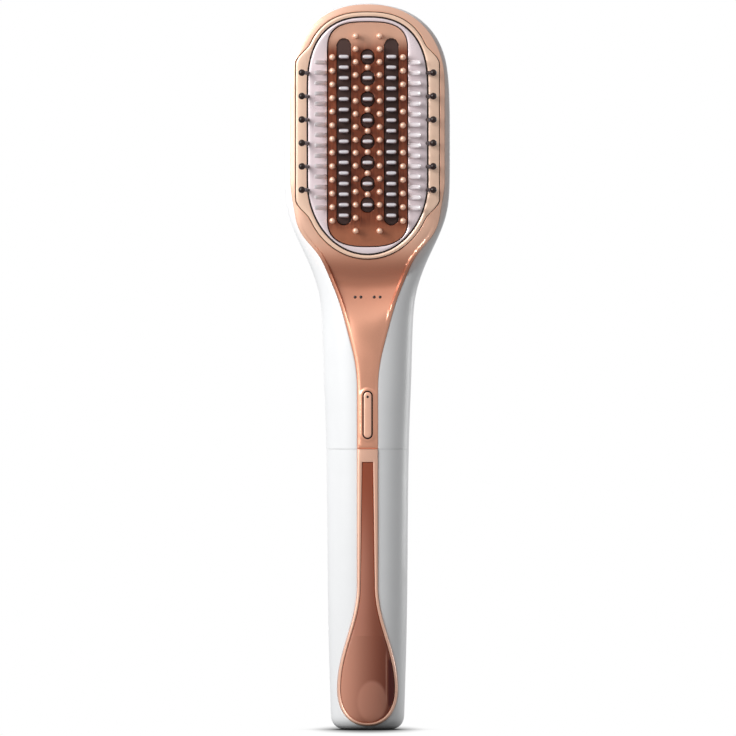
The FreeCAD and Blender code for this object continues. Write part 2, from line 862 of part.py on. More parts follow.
def side_view(edge, corners):
    """A closed side-view outline from one curved edge and straight lines through corners."""
    points = [edge.Vertexes[-1].Point, *corners, edge.Vertexes[0].Point]
    sides = [line(a, b) for a, b in zip(points, points[1:])]
    return Part.Wire([edge, *sides])


def bowed_bar(wire):
    """A side-view outline swung to both sides about an axis along Y, so that it bows upward."""
    axis_height = size("valley_top") + size("chin_radius")
    face = Part.Face(wire)
    face.rotate(Vector(0, 0, axis_height), Vector(0, 1, 0), -CHIN_SWING)
    return face.revolve(Vector(0, 0, axis_height), Vector(0, 1, 0), 2 * CHIN_SWING)


def valley_room():
    """The air in front of the valley's floor."""
    top, low = size("valley_top"), size("valley_low")
    return bowed_bar(side_view(valley_curve(0), [Vector(0, -FAR, low), Vector(0, -FAR, top)]))


def button_outline(grow):
    """The power button's capsule outline, grown all round."""
    half, low, high = size("button_half"), size("button_low"), size("button_high")
    return capsule(half + grow, low - grow, high + grow)


def make_front_housing():
    """The rose front panel: head frame, chin, valley with its rims, and the spine."""
    face, wall, back = size("head_face"), size("front_wall"), -size("panel_back")
    top, low = size("valley_top"), size("valley_low")
    spine_back = size("shell_wall") - size("handle_front")

    outline = panel_outline()
    block = rounded_prism(panel_outline, -face, back, size("face_rounding"))
    block = block.common(slab(top + NECK_START, ABOVE))
    block = block.cut(prism(bezel_outline(-size("panel_gap")), -FAR, FAR))
    # the frame's edge sinks from the face into the neck's rims
    sink = spline([Vector(0, depth - face, top + rise) for depth, rise in SINK])
    behind = side_view(sink, [
        Vector(0, FAR, top + SINK[-1][1]), Vector(0, FAR, ABOVE), Vector(0, -face, ABOVE),
    ])
    block = block.common(profile_bar(behind, FAR))
    neck = casing(-size("spine_proud")).common(prism(outline, -FAR, back))
    neck_end = size("bezel_low") - size("neck_gap")
    body = block.fuse(neck.common(slab(0, neck_end)))

    scoop = valley_room().common(prism(panel_outline(size("rim_width")), -FAR, 0))
    # the panel's own back: a flat strip under the spine, deep walls around the head
    up = Vector(0, 0, 1)
    rear = spline([
        Vector(0, spine_back + (back - spine_back) * share, low + rise) for share, rise in REAR
    ], up, up)
    rear_cut = side_view(rear, [
        Vector(0, back, ABOVE), Vector(0, FAR, ABOVE), Vector(0, FAR, 0), Vector(0, spine_back, 0),
    ])
    hollow = bowed_bar(side_view(valley_curve(wall), [
        Vector(0, spine_back, low), Vector(0, FAR, low), Vector(0, FAR, top),
    ]))
    over = Vector(-FAR, wall - face, top - size("chin_root"))
    head_room = Part.makeBox(2 * FAR, FAR, ABOVE, over)
    body = body.cut(scoop).cut(profile_bar(rear_cut, FAR))
    # thin walls around the head, thicker ones under the neck's rims
    neck_top = top + SINK[0][1]
    for inset, start, end in (
        (size("rim_wall"), 0, neck_top), (size("panel_wall"), neck_top, ABOVE),
    ):
        room = prism(panel_outline(inset), -FAR, FAR).common(slab(start, end))
        body = body.cut(hollow.common(room)).cut(head_room.common(room))

    # a fine raised rim around the button's opening
    spine_front = -size("handle_front") - size("spine_proud")
    halo = button_outline(size("halo_half") - size("button_half"))
    halo_back = spine_back - size("halo_root")
    body = body.fuse(prism(halo, spine_front - size("halo_proud"), halo_back))
    body = body.cut(prism(button_outline(size("side_gap")), -FAR, 0))
    radius = size("lamp_radius") + size("running_gap")
    lamps = [
        Part.makeCylinder(radius, FAR, Vector(x, -FAR, size("lamp_height")), Vector(0, 1, 0))
        for x in lamp_offsets()
    ]
    shaped("front_housing", body.cut(Part.makeCompound(lamps)))


def lamp_offsets():
    near, far = size("lamp_inner"), size("lamp_outer")
    return (-far, -near, near, far)


def socket_slot(grow):
    """The charging socket's rounded slot, lying across the back, grown all round."""
    half, reach = size("socket_height") / 2 + grow, size("socket_width") / 2 + grow
    socket_low = size("charge_board_low") + size("charge_board_thick")
    wire = capsule(half, -reach, reach)
    wire.rotate(Vector(0, 0, 0), Vector(0, 1, 0), 90)
    wire.translate(Vector(0, 0, socket_low + size("socket_height") / 2))
    return wire


def make_rear_housing():
    """The white rear shell: head back, neck and upper handle in one moulding."""
    edge = size("rear_lip") - size("panel_back")
    opening = prism(panel_outline(-size("panel_gap"), size("seam_gap")), -FAR, edge)
    shell = casing(0).cut(casing(size("shell_wall"))).cut(opening)
    shell = shell.common(slab(size("seam_high"), ABOVE))
    shell = shell.cut(prism(socket_slot(size("seat_gap")), 0, FAR))
    shaped("rear_housing", shell)


make_front_housing()
make_rear_housing()


# ------------------------------------------------------------------ comb head
ROD_SIDES = 8
# The round tip of a pin or bristle: (height over the ball's middle, radius), both in its radii.
BEAD = ((-0.5, 0.87), (0.0, 1.0), (0.6, 0.8), (1.0, 0.25))
NECK_END = -0.85


def between(outer, inner, near, far):
    """A flat frame between two outlines."""
    return prism(outer, near, far).cut(prism(inner, near - OVER, far + OVER))


def mirrored(shape):
    return shape.mirror(Vector(0, 0, 0), Vector(1, 0, 0))


def bead_rows(foot, neck, ball, tip):
    """(distance, radius) rows of a stem from its foot to its neck, with a ball up to the tip."""
    middle = tip - ball
    bead = [(middle + rise * ball, radius * ball) for rise, radius in BEAD]
    return [(0.0, foot), (middle + NECK_END * ball, neck), *bead]


def beaded_rod(start, way, rows):
    """An eight-sided rod with a bead on its tip: rows of (distance along the way, radius)."""
    across = way.cross(Vector(0, 0, 1))
    rings = []
    for distance, radius in rows:
        ring = []
        for side in range(ROD_SIDES + 1):
            turn = 2 * math.pi * side / ROD_SIDES
            aside = across * math.cos(turn) + Vector(0, 0, 1) * math.sin(turn)
            ring.append(start + way * distance + aside * radius)
        rings.append(Part.makePolygon(ring))
    return Part.makeLoft(rings, True, True)


def bristle_way():
    lean = math.radians(size("bristle_lean"))
    return Vector(math.sin(lean), -math.cos(lean), 0)


def bristle_feet(level):
    """Where the axes of the right side's bristles cross a plane of constant Y."""
    back = level + size("head_face")
    x = size("bristle_offset") - back * math.tan(math.radians(size("bristle_lean")))
    first, pitch = size("bristle_first"), size("bristle_pitch")
    return [Vector(x, level, first + pitch * i) for i in range(int(size("bristles")))]


def bristle_holes():
    """Round holes for the stems through the bezel and the ring, both sides."""
    radius = size("bristle_stem") + size("bristle_gap")
    level = size("plate_back") + OVER
    depth = size("head_face") + level + 2 * OVER
    holes = [
        Part.makeCylinder(radius, depth, foot, bristle_way()) for foot in bristle_feet(level)
    ]
    return Part.makeCompound(holes + [mirrored(hole) for hole in holes])


def side_rail(grow):
    """The right side comb's rail, grown all round."""
    start, width = size("side_rail_start"), size("side_rail_width")
    depth, front = size("side_rail_depth"), -size("head_face") - size("ring_proud")
    low = size("side_tooth_first") - size("side_rail_end")
    high = low + 2 * size("side_rail_end") + size("side_tooth_pitch") * (size("side_teeth") - 1)
    return Part.makeBox(
        width + 2 * grow, depth + 2 * grow, high - low + 2 * grow,
        Vector(start - grow, front - grow, low - grow),
    )


def make_frames():
    """The oval bezel and the guard ring, stepped so that each holds the next, with a shadow
    groove between them."""
    face, back, lip_back = -size("head_face"), size("frame_back"), size("plate_back")
    gap, lip, thick = size("panel_gap"), size("lip_width"), size("lip_thick")
    fit = size("seat_gap")
    holes = bristle_holes()

    inner = ring_outline(-size("ring_groove"))
    front = between(bezel_outline(), inner, face - size("bezel_proud"), back)
    rear = between(bezel_outline(-size("bezel_flange")), ring_outline(lip), back, lip_back)
    rear = rear.common(prism(panel_outline(size("panel_wall") + gap), -FAR, 0))
    shaped("inner_bezel", front.fuse(rear).cut(holes))

    front = between(ring_outline(fit), plate_outline(-gap), face - size("ring_proud"), back)
    middle = between(ring_outline(lip + fit), plate_outline(-gap), back, lip_back)
    rear_outer = plate_outline(size("plate_lip") - size("plate_lip_width"))
    rear = between(rear_outer, plate_outline(size("plate_lip")), lip_back, lip_back + thick)
    channel = side_rail(fit)
    # the channel is open towards the plate
    channel = channel.fuse(channel.translated(Vector(-size("channel_open"), 0, 0)))
    ring = front.fuse(middle).fuse(rear).cut(holes).cut(channel).cut(mirrored(channel))
    shaped("guard_ring", ring)


def comb_heights(first, step):
    """Heights of every step-th comb tooth."""
    low, pitch = size("comb_first"), size("comb_pitch")
    return [low + pitch * i for i in range(first, int(size("comb_teeth")), step)]


def vent(height, grow):
    """One window of the centre row, grown all round."""
    half, rise = size("vent_half") + grow, size("vent_height") / 2 + grow
    return capsule(half, height - rise, height + rise)


def slot(middle, grow):
    """One long slot for a side comb, grown all round."""
    low, high = size("slot_low") - grow, size("slot_high") + grow
    return side_slot(middle, size("slot_half") + grow, low, high)


def make_plate():
    """The heated plate with its two slots and its row of steam windows, and its pins."""
    front, back = size("plate_recess") - size("head_face"), size("plate_back")
    plate = prism(plate_outline(), front, back)
    offset = size("comb_offset")
    openings = [slot(offset, 0), slot(-offset, 0)] + [vent(z, 0) for z in comb_heights(1, 2)]
    holes = Part.makeCompound([prism(wire, front - OVER, back + OVER) for wire in openings])
    shaped("heater_plate", plate.cut(holes))

    places = []
    for x, first, pitch, count in (
        (size("outer_pin_offset"), size("outer_pin_first"), size("outer_pin_pitch"), size("outer_pins")),
        (size("inner_pin_offset"), size("inner_pin_first"), size("inner_pin_pitch"), size("inner_pins")),
    ):
        places += [(side * x, first + pitch * i) for side in (-1, 1) for i in range(int(count))]
    centre = comb_heights(1, 2)
    places += [(0.0, (a + b) / 2) for a, b in zip(centre, centre[1:])]
    rows = bead_rows(size("pin_foot"), size("pin_neck"), size("pin_ball"), size("pin_reach"))
    way = Vector(0, -1, 0)
    pins = [beaded_rod(Vector(x, front, z), way, rows) for x, z in places]
    shaped("plate_pins", Part.makeCompound(pins))


def comb_tooth(middle, height):
    """One flat tooth that tapers to a blunt tip, rooted in its comb's base."""
    front = size("comb_recess") - size("head_face")
    tip = front - size("comb_reach")
    foot, end, blunt = size("tooth_foot") / 2, size("tooth_tip") / 2, size("tooth_blunt") / 2
    root = front + size("tooth_root")
    side = [(root, foot), (front, foot), (tip + blunt, end), (tip, blunt)]
    points = side + [(y, -z) for y, z in reversed(side)]
    points = [Vector(0, y, height + z) for y, z in points]
    tooth = profile_bar(Part.makePolygon(points + points[:1]), size("tooth_half"))
    return tooth.translated(Vector(middle, 0, 0))


def make_comb(label, middle, heights, bases, flange):
    """A clear comb: a flange behind the plate, its bases in the openings and its teeth."""
    front, back = size("comb_recess") - size("head_face"), size("plate_back")
    parts = [prism(wire, front, back) for wire in bases]
    parts += [comb_tooth(middle, height) for height in heights]
    body = prism(flange, back, back + size("lip_thick")).multiFuse(parts)
    shaped(label, body.removeSplitter())


def make_combs():
    gap, grow = size("comb_gap"), size("comb_flange")
    offset = size("comb_offset")
    for label, middle in (("comb_left", -offset), ("comb_right", offset)):
        make_comb(label, middle, comb_heights(0, 1), [slot(middle, -gap)], slot(middle, grow))
    centre = comb_heights(1, 2)
    rise = size("vent_height") / 2 + grow
    flange = capsule(size("vent_half") + grow, centre[0] - rise, centre[-1] + rise)
    make_comb("comb_centre", 0.0, centre, [vent(z, -gap) for z in centre], flange)


def make_side_combs():
    """Short teeth that lean outward from a rail on each side of the plate."""
    start, width = size("side_rail_start"), size("side_tooth_width")
    front = -size("head_face")
    lean, reach = size("side_tooth_lean"), size("side_tooth_reach")
    inner = start + (size("side_rail_width") - width) / 2
    rim = front - size("ring_proud")
    points = [
        Vector(inner, front, 0), Vector(inner + width, front, 0), Vector(inner + width, rim, 0),
        Vector(inner + width + lean, front - reach, 0),
        Vector(inner + width / 2 + lean, front - reach - size("side_gap"), 0),
    ]
    thick = size("side_tooth_thick")
    blade = Part.Face(Part.makePolygon(points + points[:1])).extrude(Vector(0, 0, thick))
    first, pitch = size("side_tooth_first") - thick / 2, size("side_tooth_pitch")
    teeth = [
        blade.translated(Vector(0, 0, first + pitch * i)) for i in range(int(size("side_teeth")))
    ]
    comb = side_rail(0).multiFuse(teeth)
    shaped("side_comb_right", comb)
    shaped("side_comb_left", mirrored(comb))


def make_bristles():
    """Ball-ended bristles on a rail behind the bezel, leaning outward on each side."""
    back, rail = size("plate_back"), size("bristle_rail_half")
    feet = bristle_feet(back)
    low, high = feet[0].z - size("bristle_rail_end"), feet[-1].z + size("bristle_rail_end")
    bar = Part.makeBox(2 * rail, rail, high - low, Vector(feet[0].x - rail, back, low))
    way = bristle_way()
    root = size("bristle_root")
    stem, ball = size("bristle_stem"), size("bristle_ball")
    tip = root + (size("bristle_reach") + size("head_face") + back) / -way.y + ball
    rows = bead_rows(stem, stem, ball, tip)
    rods = [beaded_rod(foot - way * root, way, rows) for foot in feet]
    comb = bar.multiFuse(rods)
    shaped("bristles_right", comb)
    shaped("bristles_left", mirrored(comb))


make_frames()
make_plate()
make_combs()
make_side_combs()
make_bristles()


# ------------------------------------------------------------------ steam block behind the plate
def screw_places():
    """(x, z) of the six screws that close the steam block."""
    middle, spread, offset = size("plate_middle"), size("screw_spread"), size("screw_offset")
    return [(x, middle + z) for x in (-offset, offset) for z in (-spread, 0, spread)]


def make_steam_block():
    """The steam chamber against the plate's back, its gasket and its cover."""
    inset, back = size("block_inset"), size("block_back")
    radius = size("screw_radius") + size("running_gap")
    depth = size("screw_length") + size("running_gap")
    holes = Part.makeCompound([
        Part.makeCylinder(
            radius, depth + OVER, Vector(x, size("cover_back") + OVER, z), Vector(0, -1, 0),
        )
        for x, z in screw_places()
    ])
    block = prism(plate_outline(inset), size("plate_back"), back)
    chamber = plate_outline(inset + size("chamber_wall"))
    floor = size("plate_back") + size("chamber_depth")
    block = block.cut(prism(chamber, size("plate_back") - OVER, floor)).cut(holes)
    shaped("steam_block", block)
    inner = plate_outline(inset + size("gasket_width"))
    gasket = between(plate_outline(inset), inner, back, size("gasket_back"))
    shaped("block_gasket", gasket.cut(holes))
    cover = prism(plate_outline(inset), size("gasket_back"), size("cover_back"))
    shaped("block_cover", cover.cut(holes))


def make_screws():
    screws = []
    for row, side in enumerate(("-", "+")):
        for column, rise in enumerate(("-", "0 * ", "+")):
            place = {
                "x": f"{side} Sizes.screw_offset",
                "z": f"Sizes.plate_middle + {rise} Sizes.screw_spread".replace("+ -", "-"),
            }
            name = f"Screw{row}{column}"
            shank = primitive(
                "Cylinder", name + "Shank", y="Sizes.cover_back - Sizes.screw_length",
                turn=TO_BACK, Radius="Sizes.screw_radius", Height="Sizes.screw_length", **place,
            )
            head = primitive(
                "Cylinder", name + "Head", y="Sizes.cover_back", turn=TO_BACK,
                Radius="Sizes.screw_head", Height="Sizes.screw_head_thick", **place,
            )
            screws += [shank, head]
    keep(combine("MultiFuse", "Screws", *screws), "block_screws")


def make_heater():
    """What lies on the cover's back: the heating element, its pad, a fuse and a sensor."""
    middle = "Sizes.plate_middle - Sizes.heater_length / 2"
    keep(primitive(
        "Box", "Heater", x="-Sizes.heater_half", y="Sizes.cover_back", z=middle,
        Length="2 * Sizes.heater_half", Width="Sizes.heater_thick", Height="Sizes.heater_length",
    ), "heating_element")
    keep(primitive(
        "Box", "Pad", x="-Sizes.pad_half", y="Sizes.cover_back + Sizes.heater_thick", z=middle,
        Length="2 * Sizes.pad_half", Width="Sizes.pad_thick", Height="Sizes.heater_length",
    ), "insulation_pad")
    keep(primitive(
        "Cylinder", "Fuse", x="-Sizes.fuse_length / 2", y="Sizes.cover_back + Sizes.fuse_radius",
        z="Sizes.fuse_height", turn=TO_RIGHT, Radius="Sizes.fuse_radius",
        Height="Sizes.fuse_length",
    ), "thermal_fuse")
    keep(primitive(
        "Box", "Sensor", x="Sizes.sensor_offset - Sizes.sensor_size / 2", y="Sizes.cover_back",
        z="Sizes.sensor_height - Sizes.sensor_size / 2", Length="Sizes.sensor_size",
        Width="Sizes.sensor_thick", Height="Sizes.sensor_size",
    ), "thermistor")


make_steam_block()
make_screws()
make_heater()


# ------------------------------------------------------------------ water path
def make_spigot():
    """The plug that reaches into the tank's collar, under the handpiece's bottom flange."""
    deck, low = size("deck"), size("spigot_low")
    flange_low = deck - size("flange_thick")
    shoulder_low = size("collar_top") + size("seat_gap")
    plug, groove_floor = size("spigot_radius"), size("spigot_radius") - size("seal_depth")
    flange = casing(size("shell_wall") + 2 * size("seat_gap")).common(slab(flange_low, deck))
    shoulder = Part.makeCylinder(
        size("shoulder_radius"), flange_low - shoulder_low, Vector(0, 0, shoulder_low),
    )
    body = flange.fuse(shoulder)
    body = body.fuse(Part.makeCylinder(plug, shoulder_low - low, Vector(0, 0, low)))
    for side in (-1, 1):
        foot = Vector(side * size("pillar_offset"), size("pillar_offset"), deck)
        rise = size("charge_board_low") - deck
        body = body.fuse(Part.makeCylinder(size("pillar_radius"), rise, foot))
    floor = low + size("spigot_floor")
    bore = Part.makeCylinder(size("spigot_bore"), deck - floor + OVER, Vector(0, 0, floor))
    half = size("seal_width") / 2
    start = Vector(0, 0, size("seal_height") - half)
    groove = Part.makeCylinder(plug + OVER, 2 * half, start).cut(
        Part.makeCylinder(groove_floor, 2 * half, start)
    )
    dip = Part.makeCylinder(
        size("dip_radius") + size("running_gap"), deck - low + 2 * OVER,
        Vector(size("dip_x"), size("dip_y"), low - OVER),
    )
    shaped("tank_spigot", body.cut(bore).cut(groove).cut(dip))


def make_water_parts():
    """The seal in the plug's groove, the tube down into the tank and its filter."""
    keep(primitive(
        "Torus", "Seal", z="Sizes.seal_height", Radius2="Sizes.seal_depth / 2",
        Radius1="Sizes.spigot_radius - Sizes.seal_depth / 2",
    ), "spigot_seal")
    place = {"x": "Sizes.dip_x", "y": "Sizes.dip_y"}
    length = "Sizes.deck + Sizes.dip_stub - Sizes.dip_low"
    rod = primitive(
        "Cylinder", "DipRod", z="Sizes.dip_low", Radius="Sizes.dip_radius", Height=length, **place,
    )
    bore = primitive(
        "Cylinder", "DipBore", z="Sizes.dip_low", Radius="Sizes.dip_bore", Height=length, **place,
    )
    keep(combine("Cut", "DipTube", rod, bore), "dip_tube")
    low = "Sizes.dip_low - Sizes.filter_length"
    point = primitive(
        "Cone", "FilterPoint", z=low, Radius1="Sizes.filter_tip", Radius2="Sizes.filter_radius",
        Height="Sizes.filter_point", **place,
    )
    sleeve = primitive(
        "Cylinder", "FilterSleeve", z=low + " + Sizes.filter_point", Radius="Sizes.filter_radius",
        Height="Sizes.filter_length - Sizes.filter_point", **place,
    )
    keep(combine("MultiFuse", "Filter", point, sleeve), "dip_filter")


def make_hoses():
    """Hoses from the dip tube to the pump and from the pump to the steam block."""
    radius, pump = size("hose_radius"), size("pump_half")
    x, y = size("dip_x"), size("dip_y")
    start = size("deck") + size("dip_stub")
    port = size("shelf_top") + size("pump_port")
    side = size("suction_offset")
    shaped("suction_hose", tube([
        Vector(x, y, start), Vector(x, y, start + size("suction_stub")),
        Vector(side, 0, start + size("suction_run")), Vector(side, 0, port),
        Vector(pump, 0, port),
    ], radius, size("suction_bend")))
    out, turn = size("feed_port"), size("feed_turn")
    over = port + size("feed_rise")
    entry, block = -size("feed_offset"), size("plate_back") + size("block_depth") / 2
    shaped("feed_hose", tube([
        Vector(-pump, out, port), Vector(-pump - turn, out, port), Vector(-pump - turn, out, over),
        Vector(entry, block, over + size("feed_slope")),
        Vector(entry, block, size("plate_low") + size("block_inset")),
    ], radius, size("feed_bend")))


make_spigot()
make_water_parts()
make_hoses()


# ------------------------------------------------------------------ power parts in the grip
def make_chassis():
    """A plate up the grip that carries the board, with a shelf for the pump and a cell cradle."""
    body = doc.addObject("PartDesign::Body", "Chassis")
    plate = body_sketch(body, "XZ_Plane", "ChassisPlate", "Sizes.chassis_back")
    draw_box(plate, "-Sizes.chassis_half", "Sizes.deck", "Sizes.chassis_half", "Sizes.shelf_low")
    pad(body, plate, "Sizes.chassis_thick")
    shelf = body_sketch(body, "XY_Plane", "ChassisShelf", "Sizes.shelf_low")
    draw_box(shelf, "-Sizes.shelf_half", "-Sizes.board_back", "Sizes.shelf_half",
             "Sizes.shelf_back")
    pad(body, shelf, "Sizes.chassis_thick")
    cradle = body_sketch(body, "XY_Plane", "ChassisCradle", "Sizes.cradle_low")
    draw_box(cradle, "-Sizes.cradle_half", "-Sizes.board_back", "Sizes.cradle_half",
             "Sizes.cradle_back")
    pad(body, cradle, "Sizes.chassis_thick")
    keep(body, "chassis")


def make_boards():
    """The main board in front of the chassis, and the button's switch on it."""
    body = doc.addObject("PartDesign::Body", "MainBoard")
    sheet_face = body_sketch(body, "XZ_Plane", "BoardOutline", "Sizes.board_back")
    draw_box(sheet_face, "-Sizes.board_half", "Sizes.board_low", "Sizes.board_half",
             "Sizes.board_high")
    pad(body, sheet_face, "Sizes.board_thick")
    keep(body, "main_board")

    body = doc.addObject("PartDesign::Body", "Switch")
    case = body_sketch(body, "XZ_Plane", "SwitchCase", "Sizes.board_front")
    draw_box(case, "-Sizes.switch_half", "Sizes.button_middle - Sizes.switch_half",
             "Sizes.switch_half", "Sizes.button_middle + Sizes.switch_half")
    pad(body, case, "Sizes.switch_thick")
    plunger = body_sketch(
        body, "XZ_Plane", "SwitchPlunger", "Sizes.board_front + Sizes.switch_thick",
    )
    draw_circle(plunger, "0", "Sizes.button_middle", "Sizes.plunger_radius")
    pad(body, plunger, "Sizes.plunger_thick")
    keep(body, "tact_switch")


def make_cell():
    body = doc.addObject("PartDesign::Body", "Cell")
    ring = body_sketch(body, "XY_Plane", "CellRound", "Sizes.cell_low")
    draw_circle(ring, "0", "Sizes.cell_middle", "Sizes.cell_radius")
    can = pad(body, ring, "Sizes.cell_length")
    rounded(body, can, "Sizes.cell_rounding", lambda edge: True)
    keep(body, "power_cell")


def rounded(body, feature, radius, wanted):
    """Rounds the wanted circles or straight edges of a feature."""
    doc.recompute()
    names = [
        f"Edge{i}" for i, edge in enumerate(feature.Shape.Edges, start=1)
        if len(feature.Shape.ancestorsOfType(edge, Part.Face)) > 1 and wanted(edge)
    ]
    fillet = body.newObject("PartDesign::Fillet", feature.Name + "Rounding")
    fillet.Base = (feature, names)
    fillet.setExpression("Radius", radius)
    return fillet


def make_pump():
    body = doc.addObject("PartDesign::Body", "Pump")
    outline = body_sketch(body, "XY_Plane", "PumpOutline", "Sizes.shelf_top")
    draw_box(outline, "-Sizes.pump_half", "-Sizes.pump_front", "Sizes.pump_half",
             "Sizes.pump_back")
    block = pad(body, outline, "Sizes.pump_height")
    rounded(body, block, "Sizes.pump_rounding", lambda edge: edge.BoundBox.ZLength > 1)
    keep(body, "pump")
    keep(primitive(
        "Cylinder", "Motor", y="Sizes.motor_middle", z="Sizes.shelf_top + Sizes.pump_height",
        Radius="Sizes.motor_radius", Height="Sizes.motor_length",
    ), "pump_motor")


def make_charging():
    """The charging socket at the back of the grip and its small board."""
    back = size("handle_back") - size("socket_sink")
    front = back - size("socket_depth")
    wall, gap = size("socket_wall"), size("tongue_gap")
    can = prism(socket_slot(0), front, back)
    can = can.cut(prism(socket_slot(-wall), front + gap, back + OVER))
    top = size("charge_board_low") + size("charge_board_thick")
    middle = top + size("socket_height") / 2
    half, thick = size("tongue_half"), size("tongue_thick")
    tongue = Part.makeBox(
        2 * half, size("socket_depth") - 2 * gap, thick,
        Vector(-half, front + gap / 2, middle - thick / 2),
    )
    shaped("charge_socket", can.fuse(tongue))
    low, reach = size("charge_board_low"), size("charge_board_half")
    board = Part.makeBox(2 * reach, FAR, top - low, Vector(-reach, size("charge_board_front"), low))
    room = size("shell_wall") + size("running_gap")
    shaped("charge_board", board.common(casing(room)))


def make_lamps():
    """Four light pipes that end in the valley's floor, and the small board behind them."""
    back = -size("lamp_board_front")
    pipes = [
        Part.makeCylinder(
            size("lamp_radius"), size("head_face"), Vector(x, back, size("lamp_height")),
            Vector(0, -1, 0),
        )
        for x in lamp_offsets()
    ]
    room = valley_room()
    shaped("lamp_pipes", Part.makeCompound([pipe.cut(room) for pipe in pipes]))
    keep(primitive(
        "Box", "LampBoard", x="-Sizes.lamp_board_half", y="-Sizes.lamp_board_front",
        z="Sizes.shelf_top", Length="2 * Sizes.lamp_board_half", Width="Sizes.lamp_board_thick",
        Height="Sizes.lamp_board_height",
    ), "lamp_board")


def make_lead():
    """The heater's lead from the element down the side of the grip to the board."""
    y = size("cover_back") + size("lead_radius") + size("running_gap") / 2
    heater_low = size("plate_middle") - size("heater_length") / 2
    side = -size("lead_offset")
    board_side = -size("board_half") - size("lead_radius") - size("seat_gap")
    board = -(size("board_back") + size("board_front")) / 2
    elbow = heater_low - size("lead_stub")
    low = size("shelf_low") - size("lead_drop")
    shaped("heater_lead", tube([
        Vector(0, y, heater_low), Vector(0, y, elbow), Vector(side, y, elbow - size("lead_slope")),
        Vector(side, y, low), Vector(board_side, board, low - size("lead_end")),
    ], size("lead_radius"), size("lead_bend")))


def make_button():
    """The power button with its inner flange, and the lens of its lamp."""
    face = -size("handle_front") - size("spine_proud") - size("button_proud")
    flange = size("seat_gap") - size("handle_front") + size("shell_wall")
    body = rounded_prism(lambda inset: button_outline(-inset), face, flange, size("button_rounding"))
    lip = button_outline(size("side_gap") + size("button_lip"))
    body = body.fuse(prism(lip, flange, flange + size("button_flange")))
    radius, depth = size("button_lens_radius"), size("button_lens_depth")
    foot, way = Vector(0, face + depth, size("button_lens_height")), Vector(0, -1, 0)
    hole = Part.makeCylinder(radius + size("running_gap") / 2, depth + OVER, foot, way)
    shaped("power_button", body.cut(hole))
    shaped("button_lens", Part.makeCylinder(radius, depth, foot, way))


make_chassis()
make_boards()
make_cell()
make_pump()
make_charging()
make_lamps()
make_lead()
make_button()


# ------------------------------------------------------------------ checks and export
doc.recompute()
for obj in doc.Objects:
    if "Invalid" in obj.State or "Error" in obj.State:
        raise RuntimeError(f"{obj.Label} did not compute")
for node in NODES:
    if node.Shape.isNull() or not node.Shape.isValid():
        raise RuntimeError(f"{node.Label} has no valid shape")

os.makedirs("parts", exist_ok=True)
for node in NODES:
    node.Shape.exportStep(f"parts/{node.Label}.step")
    print(node.Label, len(node.Shape.Solids), round(node.Shape.Volume, 1))
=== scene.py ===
import functools
import math

import bmesh
import bpy
import numpy as np
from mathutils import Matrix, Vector
from mathutils.geometry import delaunay_2d_cdt


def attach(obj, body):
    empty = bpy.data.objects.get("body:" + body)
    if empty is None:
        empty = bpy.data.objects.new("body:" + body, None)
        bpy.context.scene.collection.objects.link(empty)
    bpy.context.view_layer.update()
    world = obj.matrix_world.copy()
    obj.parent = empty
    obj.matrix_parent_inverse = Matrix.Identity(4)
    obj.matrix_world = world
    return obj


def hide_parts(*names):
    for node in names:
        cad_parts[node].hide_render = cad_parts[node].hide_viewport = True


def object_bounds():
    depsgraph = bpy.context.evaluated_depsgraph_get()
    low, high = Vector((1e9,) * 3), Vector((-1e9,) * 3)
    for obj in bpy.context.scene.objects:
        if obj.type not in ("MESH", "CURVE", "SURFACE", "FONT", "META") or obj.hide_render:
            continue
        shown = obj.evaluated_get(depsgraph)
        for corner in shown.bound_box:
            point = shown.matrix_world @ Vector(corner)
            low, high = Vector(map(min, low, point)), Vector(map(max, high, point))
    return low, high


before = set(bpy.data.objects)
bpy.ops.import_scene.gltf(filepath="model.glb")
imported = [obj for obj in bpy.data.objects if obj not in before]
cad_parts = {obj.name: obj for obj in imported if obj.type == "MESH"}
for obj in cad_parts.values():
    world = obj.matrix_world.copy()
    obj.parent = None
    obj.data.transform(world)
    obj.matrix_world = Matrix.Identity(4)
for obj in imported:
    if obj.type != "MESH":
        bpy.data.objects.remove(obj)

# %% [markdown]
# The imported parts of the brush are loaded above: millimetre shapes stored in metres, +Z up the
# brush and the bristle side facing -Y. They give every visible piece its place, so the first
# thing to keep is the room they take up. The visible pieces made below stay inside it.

MM = 0.001
size_at_load = [list(corner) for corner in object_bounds()]
print("size at load, mm:", [[round(v / MM, 1) for v in corner] for corner in size_at_load])

# %% [markdown]
# A mesh here is always built the same way: whole arrays of points and faces go in at once, since
# a loop over single vertices is slow in Python. Flat shading is turned off everywhere, and the
# edges that really are sharp are found by their angle.

# %% Meshes from arrays
def grid_faces(rows, columns, wrap=False):
    """Quads between the points of a rows x columns grid; wrap joins the last column to the first."""
    here = np.arange(rows * columns).reshape(rows, columns)
    right = np.roll(here, -1, axis=1)
    quads = np.stack([here[:-1], right[:-1], right[1:], here[1:]], axis=-1)
    quads = quads if wrap else quads[:, :-1]
    return quads.reshape(-1, 4)


def joined(parts):
    """One (points, faces) pair from several; faces is a list of arrays of one width each."""
    points, faces, count = [], [], 0
    for part_points, part_faces in parts:
        for block in part_faces if isinstance(part_faces, list) else [part_faces]:
            faces.append(block + count)
        points.append(part_points.reshape(-1, 3))
        count += len(points[-1])
    return np.concatenate(points), faces


